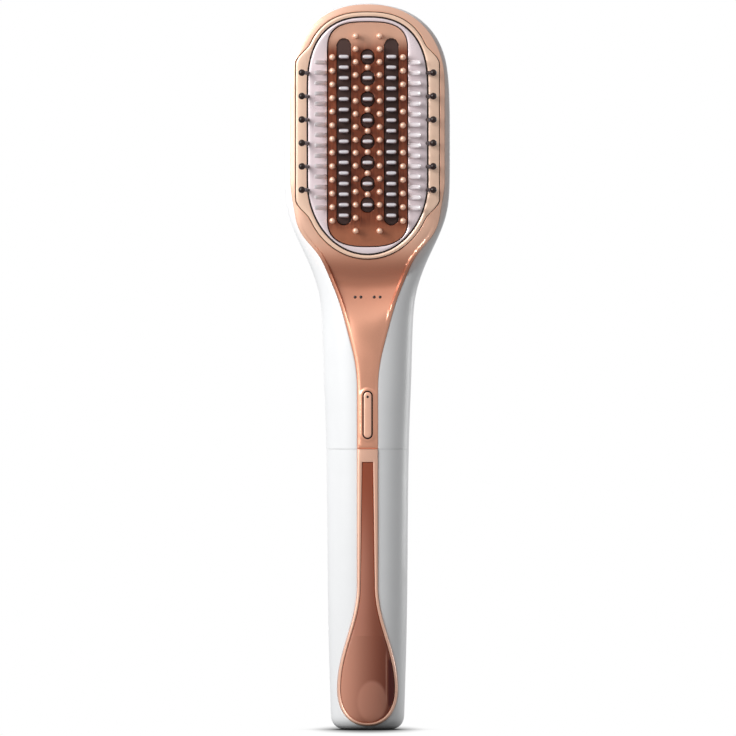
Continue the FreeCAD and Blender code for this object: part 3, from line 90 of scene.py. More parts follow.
def piece(name, points, faces, material, body, nodes, slot, sharp=35, weld=True):
    """A finished object in place on its body, standing for the given nodes."""
    blocks = faces if isinstance(faces, list) else [faces]
    mesh = bpy.data.meshes.new(name)
    mesh.from_pydata((points * MM).tolist(), [], [face for b in blocks for face in b.tolist()])
    mesh.validate()
    obj = bpy.data.objects.new(name, mesh)
    bpy.context.collection.objects.link(obj)
    if weld:
        edit = bmesh.new()
        edit.from_mesh(mesh)
        bmesh.ops.remove_doubles(edit, verts=edit.verts, dist=2e-6)
        bmesh.ops.recalc_face_normals(edit, faces=edit.faces)
        edit.to_mesh(mesh)
        edit.free()
    mesh.shade_smooth()
    mesh.set_sharp_from_angle(angle=math.radians(sharp))
    mesh.materials.append(material)
    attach(obj, body)
    if nodes:
        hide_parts(*nodes)
    print(f"{name}: {len(mesh.polygons)} faces")
    return obj

# %% [markdown]
# On the real brush the handle and the head are one flowing form, moulded as two shells. It could
# be sculpted, or bridged between a few curves. Here it is a surface over a stack of
# cross-sections, because then one function gives the skin, the wall inside it and the depth that
# every part of the front lies at. A section is a superellipse with a deeper back than front, and
# between the sections runs a cubic B-spline, whose weights are computed for all heights at once.

# %% The casing's sections, in mm
TOP = round(size_at_load[1][2] / MM, 3)
HEAD_HALF = round(size_at_load[1][0] / MM, 2)
GRIP_DEEP = 15.0  # the casing's middle plane to the grip's front and back
FOOT_HALF, FOOT_DEEP = 8.2, 7.3  # the flat underside
FOOT_RISE, FOOT_BULGE = 6.5, (0.55, 0.45)  # the rounding between the underside and the tank
TANK_HALF, TANK_DEEP = 14.7, 13.8  # the tank just above that rounding
HEAD_SHIFT, HEAD_FRONT, HEAD_BACK = -3.0, 3.0, 16.0  # the head's widest line, depths from it
DOME_LOW = TOP - HEAD_HALF
DOME_POWER, DOME_DEEP_POWER = 2.3, 3.0
GRIP_POWER, HEAD_POWER, HEAD_POWER_HEIGHT = 2.2, 2.5, 212
CLIMB = (  # height, half width, share of the way from the handle's section to the head's
    (26, 15.35, 0), (52, 16, 0), (112.5, 16.3, 0), (136, 17.4, 0.01), (148, 17.725, 0.03),
    (161.2, 18.05, 0.06), (172, 18.7, 0.13), (180, 20.638, 0.28), (188, 23.8, 0.47),
    (196, 27.756, 0.68), (204, 31.16, 0.86), (212, 32.816, 0.97), (222.12, HEAD_HALF, 1),
    (235, HEAD_HALF, 1), (DOME_LOW, HEAD_HALF, 1),
)


def control_rows(inset):
    """Height, half width, Y of the widest line, front and back depth of every section.

    The foot's four rows round its corner, the climb blends the handle's depths into the head's,
    and the dome's rows follow a superellipse: height by a power of the sine of the turn, width
    and depth by powers of its cosine. With an inset every side moves in by that much.
    """
    left = FOOT_RISE - inset
    bulge, drop = (share * left for share in FOOT_BULGE)
    tank = (TANK_HALF - inset, 0, TANK_DEEP - inset, TANK_DEEP - inset)
    rows = [
        (inset, FOOT_HALF, 0, FOOT_DEEP, FOOT_DEEP),
        (inset, FOOT_HALF + bulge, 0, FOOT_DEEP + bulge, FOOT_DEEP + bulge),
        (inset + drop, *tank),
        (FOOT_RISE, *tank),
    ]
    for height, half, share in CLIMB:
        front = GRIP_DEEP + (HEAD_FRONT - GRIP_DEEP) * share
        back = GRIP_DEEP + (HEAD_BACK - GRIP_DEEP) * share
        rows.append((height, half - inset, HEAD_SHIFT * share, front - inset, back - inset))
    half = HEAD_HALF - inset
    for turn in np.radians([20, 40, 58, 72, 84]):
        wide, deep = np.cos(turn) ** (2 / DOME_POWER), np.cos(turn) ** (2 / DOME_DEEP_POWER)
        rows.append((DOME_LOW + half * np.sin(turn) ** (2 / DOME_POWER), half * wide, HEAD_SHIFT,
                     (HEAD_FRONT - inset) * deep, (HEAD_BACK - inset) * deep))
    rows.append((TOP - inset, 1.2, HEAD_SHIFT, 0.6, 0.6))  # a small flat closes the crown
    return np.array(rows, float)


print("casing sections:", len(control_rows(0)), "dome from", DOME_LOW, "to", TOP, "mm")

# %% [markdown]
# A straight loft would show every section as a ridge. A cubic B-spline passes near its sections
# and bends evenly between them. The surface is a function of two parameters: how far along the
# stack, and the angle round the section. Both are whole arrays, so one call gives a whole skin.

# %% The surface over the sections
def spline_weights(count, u):
    """Clamped cubic B-spline weights of count rows at the parameters u: each degree's weight is
    the one below it and its neighbour, each times its share of the way along its knots."""
    spans = count - 3
    knots = np.concatenate([[0] * 3, np.arange(spans + 1), [spans] * 3]).astype(float)
    u = np.clip(u, 0, spans - 1e-9)[:, None]
    weights = ((knots[:-1] <= u) & (u < knots[1:])).astype(float)
    for k in (1, 2, 3):
        rise, fall = knots[k:-1] - knots[:-k - 1], knots[k + 1:] - knots[1:-k]
        up = (u - knots[:-k - 1]) / np.where(rise > 0, rise, 1) * (rise > 0)
        down = (knots[k + 1:] - u) / np.where(fall > 0, fall, 1) * (fall > 0)
        weights = up * weights[:, :-1] + down * weights[:, 1:]
    return weights


class Casing:
    """The outer form with every side moved in by inset."""

    FINE = 6000  # samples of height along the spline's parameter

    def __init__(self, inset):
        self.rows = control_rows(inset)
        self.u = np.linspace(0, len(self.rows) - 3, self.FINE)
        self.z = spline_weights(len(self.rows), self.u) @ self.rows[:, 0]
        self.top = self.z[-1]

    def points(self, u, angle):
        """Points for every u and angle of the two arrays; 0 is +X and a quarter turn the back.

        Each section is a superellipse: half width and depth times a power of the angle's cosine
        and sine. The spline's weights then mix the sections into the point at u.
        """
        angle = np.broadcast_to(angle, (len(u), np.shape(angle)[-1]))[:, None]
        height, half, middle, front, back = self.rows.T[:, None, :, None]
        climbed = np.minimum(height / HEAD_POWER_HEIGHT, 1)
        power = GRIP_POWER + (HEAD_POWER - GRIP_POWER) * climbed ** 4
        c, s = np.cos(angle), np.sin(angle)
        x = half * np.sign(c) * np.abs(c) ** (2 / power)
        y = middle + np.where(s > 0, back, front) * np.sign(s) * np.abs(s) ** (2 / power)
        weights = spline_weights(len(self.rows), u)
        x, y = (np.einsum("ri,ric->rc", weights, v) for v in (x, y))
        z = np.broadcast_to((weights @ self.rows[:, 0])[:, None], x.shape)
        return np.stack([x, y, z], axis=-1)

    def at_heights(self, z):
        """The parameters u at which the spline reaches the heights z."""
        return np.interp(z, self.z, self.u)


@functools.cache
def form(inset):
    """The casing moved in by inset, worked out once for each inset."""
    return Casing(inset)


print("casing top, mm:", round(form(0).top, 2), "and 2 mm in:", round(form(2.0).top, 2))

# %% [markdown]
# Most parts of the front are drawn as outlines seen from the front and then laid on the casing.
# For that, the depth of the casing's front is kept in a table and read off between its cells.

# %% Depth of the casing's front
STEP_X, STEP_Z = 0.2, 0.25


@functools.cache
def front_table(inset):
    """Y of the front on a grid of x and z: each section's quarter from the front to the side."""
    casing = form(inset)
    x, z = np.arange(0, HEAD_HALF + 1, STEP_X), np.arange(0, TOP + 0.5, STEP_Z)
    surface = casing.points(casing.at_heights(z), np.linspace(-np.pi / 2, 0, 120))
    return np.stack([np.interp(x, row[:, 0], row[:, 1]) for row in surface])


def front_y(x, z, inset=0.0):
    """Y of the casing's front at places seen from the front, blended from the four corners of the
    table's cell round each place, by its shares of the way across and up."""
    table = front_table(inset)
    column = np.clip(np.abs(x) / STEP_X, 0, table.shape[1] - 1.001)
    row = np.clip(z / STEP_Z, 0, table.shape[0] - 1.001)
    i, j = row.astype(int), column.astype(int)
    a, b = row - i, column - j
    low = table[i, j] * (1 - b) + table[i, j + 1] * b
    high = table[i + 1, j] * (1 - b) + table[i + 1, j + 1] * b
    return low * (1 - a) + high * a


def curve(x, y, flat_ends=False):
    """A smooth function through a few points, level at its ends if flat_ends is set.

    It is a cubic between each two points, and one small linear system gives the bends at the
    points that make every joint's slope and bend agree.
    """
    x, y = np.array(x, float), np.array(y, float)
    h, slope = np.diff(x), np.diff(y) / np.diff(x)
    n = len(x)
    system, right = np.zeros((n, n)), np.zeros(n)
    for i in range(1, n - 1):
        system[i, i - 1:i + 2] = h[i - 1], 2 * (h[i - 1] + h[i]), h[i]
        right[i] = 6 * (slope[i] - slope[i - 1])
    if flat_ends:
        system[0, :2], right[0] = (2 * h[0], h[0]), 6 * slope[0]
        system[-1, -2:], right[-1] = (h[-1], 2 * h[-1]), -6 * slope[-1]
    else:
        system[0, 0] = system[-1, -1] = 1
    bend = np.linalg.solve(system, right)

    def value(at):
        """Each place's cubic from its two neighbours' values and bends."""
        at = np.asarray(at, float)
        k = np.clip(np.searchsorted(x, at) - 1, 0, n - 2)
        left, rest, width = at - x[k], x[k + 1] - at, h[k]
        return (bend[k] * rest ** 3 + bend[k + 1] * left ** 3) / (6 * width) + (
            (y[k] / width - bend[k] * width / 6) * rest
            + (y[k + 1] / width - bend[k + 1] * width / 6) * left
        )

    return value


spine_front = front_y(np.array([0.0]), np.array([126.0]))[0]
print("front of the spine at the button, mm:", round(float(spine_front), 2))

# %% [markdown]
# The outlines of the front's parts come next. They could be traced as Bezier curves, but as
# functions each can be asked for at any inset, which is how every rounding, lip and groove below
# is made. A function gives the right half from the top to the bottom, and closed() adds the
# mirrored left half. The head's ovals have the same number of points in the same order, so that
# any two can be joined by a band of faces.

# %% Ovals of the head, seen from the front
CAP_POINTS, SIDE_POINTS = 28, 40
RING = dict(half=23.9, low=190.5, high=285.2, low_rise=29, high_rise=29, low_power=2.0, high_power=2.5)
PLATE = dict(half=16.1, low=193.4, high=283.5, low_rise=11, high_rise=12, low_power=2.6, high_power=2.9)
BEZEL = dict(half=25.5, low=188.6, high=287.3, low_rise=28, high_rise=29, low_power=2.0, high_power=2.5)
LOBE_HALF, LOBE_LOW, LOBE_HIGH, LOBE_EASE = 28.7, 212.5, 266.5, 8


def oval_half(inset, half, low, high, low_rise, high_rise, low_power, high_power):
    """Right half of a long panel: a superellipse's quarter at each end, width by a power of the
    cosine and height by a power of the sine, and a straight side between them."""
    down = np.radians(np.linspace(90, 0, CAP_POINTS))
    half = half - inset
    top = np.stack([half * np.cos(down) ** (2 / high_power),
                    high - high_rise + (high_rise - inset) * np.sin(down) ** (2 / high_power)], -1)
    up = down[::-1]
    bottom = np.stack([half * np.cos(up) ** (2 / low_power),
                       low + low_rise - (low_rise - inset) * np.sin(up) ** (2 / low_power)], -1)
    share = np.linspace(0, 1, SIDE_POINTS)[1:-1, None]
    side = top[-1] * (1 - share) + bottom[0] * share
    return np.concatenate([top, side, bottom])


def closed(right):
    """The whole loop of a right half: its two ends are put on the middle line and the rest is
    mirrored in X."""
    right = right.copy()
    right[[0, -1], 0] = 0
    left = right[-2:0:-1] * (-1, 1)
    return np.concatenate([right, left])


def ring_line(inset):
    """The guard ring's outside."""
    return closed(oval_half(inset, **RING))


def plate_line(inset):
    """The heated plate's outside, which is the guard ring's inside."""
    return closed(oval_half(inset, **PLATE))


def bezel_line(inset):
    """The bezel's oval with a straight lobe on each side: near the lobe the half width goes over
    to the lobe's, by a cubic that is level at both ends."""
    right = oval_half(inset, **BEZEL)
    past = np.maximum(right[:, 1] - LOBE_HIGH, LOBE_LOW - right[:, 1])
    share = np.clip(np.maximum(past, 0) / LOBE_EASE, 0, 1)
    ease = (1 - share) ** 2 * (1 + 2 * share)
    right[:, 0] += (LOBE_HALF - inset - right[:, 0]) * ease
    return closed(right)


print("outline points:", {f.__name__: len(f(0)) for f in (ring_line, plate_line, bezel_line)})

# %% [markdown]
# The rose panel is as wide as the head's front above and narrows through a curved neck to a slim
# spine, and the tank's inlay carries the spine's line down into a drop. Their half widths are
# functions of the height, and the outline is that function read from the top to the bottom.

# %% Outlines of the rose panel, the slots and the tank's inlay
STEM_HALF = 4.1  # half width of the spine and of the inlay's stem below it
NECK = ((136, STEM_HALF), (146.5, 4.9), (159.5, 7.97), (172, 11.58), (183, 15.98), (190.5, 19.85),
        (198.5, 26.26), (209, 29.385), (220, 30.8))  # height, half width of the panel
NECK_LOW, NECK_HIGH = NECK[0][0], NECK[-1][0]
neck_width = curve([z for z, _ in NECK], [half for _, half in NECK], flat_ends=True)
SEAM_LOW, SEAM_HIGH = 112.44, 112.56  # the tank's rim and the handpiece's
PANEL_HALF, PANEL_RISE, PANEL_POWER = NECK[-1][1], 32.4, 2.2


def panel_width(z, inset=0.0):
    """Half width of the rose panel at each height: the neck's curve, and over it a dome that
    follows a superellipse."""
    up = np.clip((z - DOME_LOW) / (PANEL_RISE - inset), 0, 1)
    dome = (PANEL_HALF - inset) * (1 - up ** PANEL_POWER) ** (1 / PANEL_POWER)
    neck = neck_width(np.clip(z, NECK_LOW, NECK_HIGH)) - inset
    return np.where(z > DOME_LOW, dome, neck)


def panel_line(inset, foot=SEAM_HIGH):
    """The panel's outline: the dome by even turns, the sides by heights that are closest together
    along the neck, and a straight foot."""
    turn = np.radians(np.linspace(90, 0, 60))
    cap = np.stack([(PANEL_HALF - inset) * np.cos(turn) ** (2 / PANEL_POWER),
                    DOME_LOW + (PANEL_RISE - inset) * np.sin(turn) ** (2 / PANEL_POWER)], -1)
    z = np.concatenate([np.linspace(DOME_LOW - 2, NECK_HIGH + 1, 18),
                        np.linspace(NECK_HIGH, NECK_LOW, 120), np.linspace(NECK_LOW - 1, foot, 16)])
    side = np.stack([panel_width(z, inset), z], -1)
    return closed(np.concatenate([cap, side, [[0, foot]]]))


def capsule(half, low, high, x=0.0):
    """A closed slot outline: a quarter circle at the top, its mirror image at the bottom."""
    turn = np.radians(np.linspace(90, 0, 13))
    top = np.stack([half * np.cos(turn), high - half + half * np.sin(turn)], -1)
    bottom = np.stack([top[::-1, 0], low + high - top[::-1, 1]], -1)
    return closed(np.concatenate([top, bottom])) + (x, 0)


BOWL_HALF, BOWL_TOP, BOWL_RISE, BOWL_POWER = 12.1, 16.5, 14.8, 2.2  # the drop's round end
STEM_FOOT = 58.0  # the stem begins to widen here


def drop_width(z, inset=0.0):
    """Half width of the tank's inlay: a slim stem, widened by half a cosine wave into a bowl
    whose lower half follows a superellipse."""
    share = np.clip((z - BOWL_TOP) / (STEM_FOOT - BOWL_TOP), 0, 1)
    ease = (1 + np.cos(np.pi * share)) / 2
    wide = STEM_HALF + (BOWL_HALF - STEM_HALF) * ease - inset
    down = np.clip((BOWL_TOP - z) / (BOWL_RISE - inset), 0, 1)
    bowl = (BOWL_HALF - inset) * (1 - down ** BOWL_POWER) ** (1 / BOWL_POWER)
    return np.where(z < BOWL_TOP, bowl, wide)


def drop_line(inset, top, taper=0.0):
    """The inlay's outline by heights from the stem's top to the bowl's lowest point; taper draws
    in each side of the stem towards its top."""
    turn = np.radians(np.linspace(0, 90, 44))
    bowl_z = BOWL_TOP - (BOWL_RISE - inset) * np.sin(turn) ** (2 / BOWL_POWER)
    z = np.concatenate([np.linspace(top, STEM_FOOT, 30)[1:],
                        np.linspace(STEM_FOOT, BOWL_TOP, 60)[1:-1], bowl_z])
    lean = taper * np.clip((z - STEM_FOOT) / (top - STEM_FOOT), 0, 1)
    side = np.stack([drop_width(z, inset) - lean, z], -1)
    edge = np.linspace(0, STEM_HALF - inset - taper, 6)
    return closed(np.concatenate([np.stack([edge, np.full(len(edge), top)], -1), side]))


print("panel outline:", len(panel_line(0)), "points, inlay:", len(drop_line(0, SEAM_LOW)))

# %% [markdown]
# Two ways to skin an outline. A band joins a list of loops that run alike, which suits rims,
# rings and roundings. A sheet fills any outline that has holes: its edges and a lattice of inner
# points are joined into triangles, and every point then gets its depth from one function.

# %% Bands and sheets
def loop3(line, y):
    """A front-view outline at a depth, or on a depth for every point."""
    y = np.broadcast_to(y, len(line))
    return np.stack([line[:, 0], y, line[:, 1]], axis=-1)


def band(loops):
    """Points and faces of a strip over loops that have as many points in the same order."""
    points = np.stack(loops)
    return points.reshape(-1, 3), grid_faces(*points.shape[:2], wrap=True)


def inside(points, line):
    """Which points lie inside a closed outline: a line to the right of them crosses it an odd
    number of times."""
    result = np.zeros(len(points), bool)
    x, z = points.T
    for (x0, z0), (x1, z1) in zip(line, np.roll(line, -1, axis=0)):
        if z0 != z1:
            crosses = (z0 > z) != (z1 > z)
            result ^= crosses & (x < x0 + (z - z0) * (x1 - x0) / (z1 - z0))
    return result


def distance(points, line):
    """Distance from each point to a closed outline: the least of those to its sides, each taken
    at the point's clamped share of the way along the side."""
    best = np.full(len(points), 1e9)
    for a, b in zip(line, np.roll(line, -1, axis=0)):
        way = b - a
        length = max(way @ way, 1e-12)
        share = np.clip((points - a) @ way / length, 0, 1)
        best = np.minimum(best, np.linalg.norm(points - a - share[:, None] * way, axis=1))
    return best


def filled(points, outer, holes):
    """Which points lie in the outline and in none of its holes."""
    result = inside(points, outer)
    for hole in holes:
        result &= ~inside(points, hole)
    return result


def sheet(outer, holes, guides, step, depth):
    """Triangles over an outline with holes; depth(x, z) gives Y.

    The points are the loops' own and a lattice of equal triangles that keeps a little away from
    the loops. A Delaunay triangulation joins them, and every loop stays an edge of it.
    """
    loops = [outer, *holes, *guides]
    low, high = outer.min(0), outer.max(0)
    row_step, clear = step * 0.87, step * 0.45
    lattice = np.stack(np.meshgrid(np.arange(low[0], high[0], step),
                                   np.arange(low[1], high[1], row_step)), -1)
    lattice[1::2, :, 0] += step / 2
    lattice = lattice.reshape(-1, 2)
    lattice = lattice[filled(lattice, outer, holes)]
    for loop in loops:
        lattice = lattice[distance(lattice, loop) > clear]
    edges, start = [], 0
    for loop in loops:
        index = np.arange(len(loop)) + start
        edges.append(np.stack([index, np.roll(index, -1)], -1))
        start += len(loop)
    flat, _, triangles, *_ = delaunay_2d_cdt(
        np.concatenate([*loops, lattice]).tolist(), np.concatenate(edges).tolist(), [], 0, 1e-6)
    flat, triangles = np.array([tuple(p) for p in flat]), np.array(triangles)
    triangles = triangles[filled(flat[triangles].mean(1), outer, holes)]
    return np.stack([flat[:, 0], depth(flat[:, 0], flat[:, 1]), flat[:, 1]], -1), triangles


def rounding(distance_in, radius):
    """How far a rounded edge falls back at each distance from it: the radius less the height of
    a circle at that place."""
    away = radius - np.clip(distance_in, 0, radius)
    return radius - np.sqrt(np.maximum(radius ** 2 - away ** 2, 0))


print("a 1.4 mm rounding falls back", np.round(rounding(np.array([0.0, 0.4, 1.4]), 1.4), 2), "mm")

# %% [markdown]
# Shader maths reads best as ordinary arithmetic. A Socket stands for one output of a node, and
# adding or multiplying Sockets adds the math node that does it. Every other node comes from one
# method, node(), which takes its inputs and its settings by name. Textures are placed by Object
# coordinates, in millimetres, so that a pattern stays where it is when a part moves.

# %% Shader arithmetic
class Socket:
    """One output of a node, which +, -, * and / join to further math nodes."""

    def __init__(self, graph, output):
        self.graph, self.output = graph, output

    def math(self, operation, *others):
        return self.graph.node("ShaderNodeMath", 0, [self, *others], operation=operation)

    def __add__(self, other):
        return self.math("ADD", other)

    def __sub__(self, other):
        return self.math("SUBTRACT", other)

    def __mul__(self, other):
        return self.math("MULTIPLY", other)

    def __truediv__(self, other):
        return self.math("DIVIDE", other)

    def __rsub__(self, other):
        return self.graph.node("ShaderNodeMath", 0, [other, self], operation="SUBTRACT")

    __radd__, __rmul__ = __add__, __mul__

    def ramp(self, low, high, to_low=0.0, to_high=1.0):
        """This value mapped from low..high to to_low..to_high, smoothly and clamped."""
        return self.graph.node("ShaderNodeMapRange", 0,
                               {"Value": self, "From Min": low, "From Max": high,
                                "To Min": to_low, "To Max": to_high},
                               interpolation_type="SMOOTHSTEP")


class Graph:
    """A new material with one surface shader."""

    def __init__(self, name, **constants):
        self.material = bpy.data.materials.new(name)
        self.material.use_nodes = True
        self.tree = self.material.node_tree
        self.shader = self.tree.nodes["Principled BSDF"]
        for key, value in constants.items():
            self.shader.inputs[key.replace("_", " ")].default_value = value
        self.place = self.millimetres()
        split = self.node("ShaderNodeSeparateXYZ", 0, [self.place]).output.node
        self.x, self.y, self.z = (Socket(self, out) for out in split.outputs)

    def millimetres(self):
        """The Object coordinates times 1000."""
        place = self.node("ShaderNodeTexCoord", "Object", [])
        return self.node("ShaderNodeVectorMath", 0, [place, (1000,) * 3], operation="MULTIPLY")

    def node(self, kind, output, inputs, **settings):
        """Adds a node of this kind and returns one of its outputs. An input is a Socket, which is
        linked, or a plain value; inputs is a list or a dict by name or number."""
        made = self.tree.nodes.new(kind)
        for key, value in settings.items():
            setattr(made, key, value)
        pairs = inputs.items() if isinstance(inputs, dict) else enumerate(inputs)
        for key, value in pairs:
            if isinstance(value, Socket):
                self.tree.links.new(value.output, made.inputs[key])
            else:
                made.inputs[key].default_value = value
        return Socket(self, made.outputs[output])

    def noise(self, scale, detail=2.0, stretch=(1, 1, 1)):
        """Soft noise from 0 to 1; scale is in features a millimetre."""
        where = self.node("ShaderNodeVectorMath", 0, [self.place, stretch], operation="MULTIPLY")
        return self.node("ShaderNodeTexNoise", "Fac",
                         {"Vector": where, "Scale": scale, "Detail": detail})

    def mix(self, share, low, high):
        """A colour between two, by a 0..1 share."""
        return self.node("ShaderNodeMix", 2, {0: share, 6: low, 7: high}, data_type="RGBA")

    def set(self, name, value):
        """Links a Socket to one of the surface shader's inputs."""
        self.tree.links.new(value.output, self.shader.inputs[name])

    def bump(self, height, depth_mm):
        """Tilts the surface by a height from 0 to 1 that stands for so many millimetres."""
        normal = self.node("ShaderNodeBump", "Normal",
                           {"Height": height, "Distance": depth_mm * MM, "Strength": 1.0})
        self.set("Normal", normal)


def rgb(red, green, blue):
    """A display colour of 0..255 as the linear colour that a shader takes."""
    c = np.array([red, green, blue]) / 255
    linear = np.where(c <= 0.04045, c / 12.92, ((c + 0.055) / 1.055) ** 2.4)
    return (*linear.tolist(), 1.0)


def shade(colour, factor):
    """The colour with each of its parts times the factor, at most 1."""
    return (*[min(v * factor, 1.0) for v in colour[:3]], 1.0)


print("middle grey for a shader:", round(rgb(128, 128, 128)[0], 3))

# %% [markdown]
# Most parts of the brush are moulded plastic: one even colour whose gloss is broken by the fine
# texture of the mould, faint finger marks and a little dust. The marks only change the roughness
# and the colour by a few parts in a hundred, for anything stronger would look like damage.

# %% Moulded plastic
def moulded(name, colour, rough, metal=0.0, coat=0.0, grain=3.0, depth=0.01, mottle=0.05, **more):
    """Plastic or paint with a mould texture, finger marks and a slight mottle: a coarse noise
    darkens the colour by the mottle, and it and a fine noise add a little to the roughness."""
    g = Graph(name, Metallic=metal, Coat_Weight=coat, **more)
    marks = g.noise(0.09, 3.0).ramp(0.35, 0.7)
    fine = g.noise(grain, 2.0)
    g.set("Base Color", g.mix(marks, colour, shade(colour, 1 - mottle)))
    g.set("Roughness", marks * 0.06 + fine * 0.05 + (rough - 0.05))
    g.bump(fine, depth)
    return g.material


white = moulded("white_plastic", rgb(245, 246, 247), 0.36, coat=0.12, mottle=0.015)
pearl = moulded("pearl_plastic", rgb(242, 226, 230), 0.3, metal=0.1, coat=0.35, mottle=0.03)
tooth_plastic = moulded("milky_teeth", rgb(238, 228, 234), 0.18, coat=0.8, mottle=0.04,
                        Subsurface_Weight=0.8, Subsurface_Radius=(1, 1, 1), Subsurface_Scale=0.003)
bristle_black = moulded("bristle_nylon", rgb(34, 12, 7), 0.18, grain=5.0, Specular_IOR_Level=0.35)
print("materials so far:", len(bpy.data.materials))

# %% [markdown]
# The rose gold panel is painted with a metal flake under a clear coat. A single metallic colour
# would look like polished metal; here a fine noise stands for the tiny flakes that catch the
# light one by one, and a smooth coat lies over them. Over the head the paint is made lighter, a
# painted highlight, and in the scoop under the head's chin darker, painted shade. Behind a given
# depth, in the grooves and gaps, the colour goes over to a dark brown, which is painted shade.

# %% Rose gold paint
# Over the head the colour is a painted highlight, and in the scoop under the chin it is painted shade.
HEAD_FADE, HEAD_METAL, HEAD_PAINTED_LIGHT = (186, 200), 0.2, rgb(240, 190, 164)  # heights in mm
SCOOP_FADE, CHIN_FADE, SCOOP_PAINTED_SHADE = (163, 182), (194, 184), rgb(146, 74, 44)
# In grooves and gaps behind a given depth the colour is painted shade.
GAP_SHADE_FADE, GAP_PAINTED_SHADE = 0.35, rgb(44, 20, 13)


def flaked(name, colour, rough, coat=0.35, metal=0.55, scoop_shade=0.0, gap_shade_depth=None):
    """Flake paint: its colour is a mix of a darker and a lighter shade by the flakes' noise.

    One argument gives how far the scoop under the chin goes over to its painted shade, and it also
    turns the head's paint lighter as a painted highlight; another gives the depth behind which
    grooves and gaps are painted dark brown as shade.
    """
    g = Graph(name, Metallic=metal, Coat_Weight=coat, Coat_Roughness=0.14)
    if scoop_shade:
        g.set("Metallic", g.z.ramp(*HEAD_FADE, metal, HEAD_METAL))
    flakes = g.noise(9.0, 1.0)
    marks = g.noise(0.07, 3.0).ramp(0.4, 0.75)
    paint = g.mix(flakes.ramp(0.3, 0.7), shade(colour, 0.96), shade(colour, 1.05))
    if scoop_shade:
        scoop = g.z.ramp(*SCOOP_FADE) * g.z.ramp(*CHIN_FADE)
        paint = g.mix(g.z.ramp(*HEAD_FADE), paint, HEAD_PAINTED_LIGHT)
        paint = g.mix(scoop * scoop_shade, paint, SCOOP_PAINTED_SHADE)
    if gap_shade_depth:
        paint = g.mix(g.y.ramp(gap_shade_depth, gap_shade_depth + GAP_SHADE_FADE), paint, GAP_PAINTED_SHADE)
    g.set("Base Color", paint)
    g.set("Roughness", marks * 0.06 + flakes * 0.08 + (rough - 0.04))
    g.bump(flakes, 0.006)
    return g.material


rose = flaked("rose_paint", rgb(230, 164, 135), 0.32, scoop_shade=0.6)
# The bezel's paint is a lighter copy of the panel's rose: painted light for the brighter head.
rose_frame_lit = flaked("rose_bezel_lit_paint", rgb(254, 214, 188), 0.33, metal=0.15, gap_shade_depth=-12.72)
# The trim's paint is a lighter copy of the rose too: a painted highlight on its rounded edges.
rose_trim_lit = flaked("rose_trim_lit_paint", rgb(244, 192, 166), 0.3, metal=0.3, coat=0.6)
# The key's sides behind the panel are painted dark, as shade in its gap.
rose_key = flaked("rose_button_paint", rgb(254, 194, 166), 0.36, metal=0.3, gap_shade_depth=-15.6)
rose_pin = flaked("rose_pin_paint", rgb(252, 200, 172), 0.28, coat=0.6, metal=0.3)
print("materials so far:", len(bpy.data.materials))

# %% [markdown]
# The heated plate is aluminium under a bronze ceramic coating. The coating was sprayed, so it has
# a fine grain, and hair has polished faint streaks along the plate. Its two ends are painted paler
# than the middle, a painted reflection of the room, and the walls of its openings and edges are
# painted dark as shade.

# %% Bronze plate
PLATE_DARK, PLATE_LIGHT = rgb(122, 58, 32), rgb(146, 76, 46)
# The paler ends are a painted reflection; the dark behind the plate's face is painted shade.
UPPER_FADE, UPPER_PAINTED_SHEEN = (270.5, 278.5), rgb(222, 172, 146)  # heights in mm
LOWER_FADE, LOWER_PAINTED_SHEEN = (205, 198), rgb(168, 102, 72)
CUT_SHADE_FADE, CUT_PAINTED_SHADE = (-12.14, -12.0), rgb(40, 18, 11)  # depths behind the plate's face


def bronze_plate():
    """A mix of two browns by a noise stretched along the plate, then the ends painted paler as a
    reflection and the cuts painted dark as shade.
    """
    g = Graph("bronze_ceramic", Metallic=0.45, Coat_Weight=0.3, Coat_Roughness=0.15)
    grain = g.noise(7.0, 2.0)
    streaks = g.noise(1.6, 3.0, stretch=(1, 1, 0.06)).ramp(0.35, 0.7)
    colour = g.mix(streaks, PLATE_DARK, PLATE_LIGHT)
    colour = g.mix(g.z.ramp(*UPPER_FADE), colour, UPPER_PAINTED_SHEEN)
    colour = g.mix(g.z.ramp(*LOWER_FADE), colour, LOWER_PAINTED_SHEEN)
    g.set("Base Color", g.mix(g.y.ramp(*CUT_SHADE_FADE), colour, CUT_PAINTED_SHADE))
    g.set("Roughness", grain * 0.12 + streaks * 0.06 + 0.3)
    g.bump(grain, 0.012)
    return g.material


bronze = bronze_plate()
print("bronze nodes:", len(bronze.node_tree.nodes))

# %% [markdown]
# The comb teeth are clear plastic and the tank's window is a smoked one. Full Transmission is the
# usual way to such plastics, but in stacked thin parts it turns dark and noisy. Here only a
# little light passes, for glassy edges, and the colour is painted instead: painted shade at the
# teeth's roots for the dark openings behind them, a painted highlight on their tips and painted
# shade on their flanks, and in the window painted light and shade, a painted reflection in its
# bowl and the dip tube drawn in.

# %% Clear plastics, places in mm
# The tip's white is a painted highlight, the flanks' grey is partly painted shade, the root's dark is
# painted shade.
MILK_AND_TIP_HIGHLIGHT = rgb(246, 240, 246), rgb(255, 252, 255)
FLANK_SHADE_FADE, FLANK_TINT_AND_SHADE = (-18.5, -17.8), rgb(176, 162, 172)
ROOT_SHADE_FADE, ROOT_PAINTED_SHADE = (-15.8, -12.6), rgb(62, 34, 27)


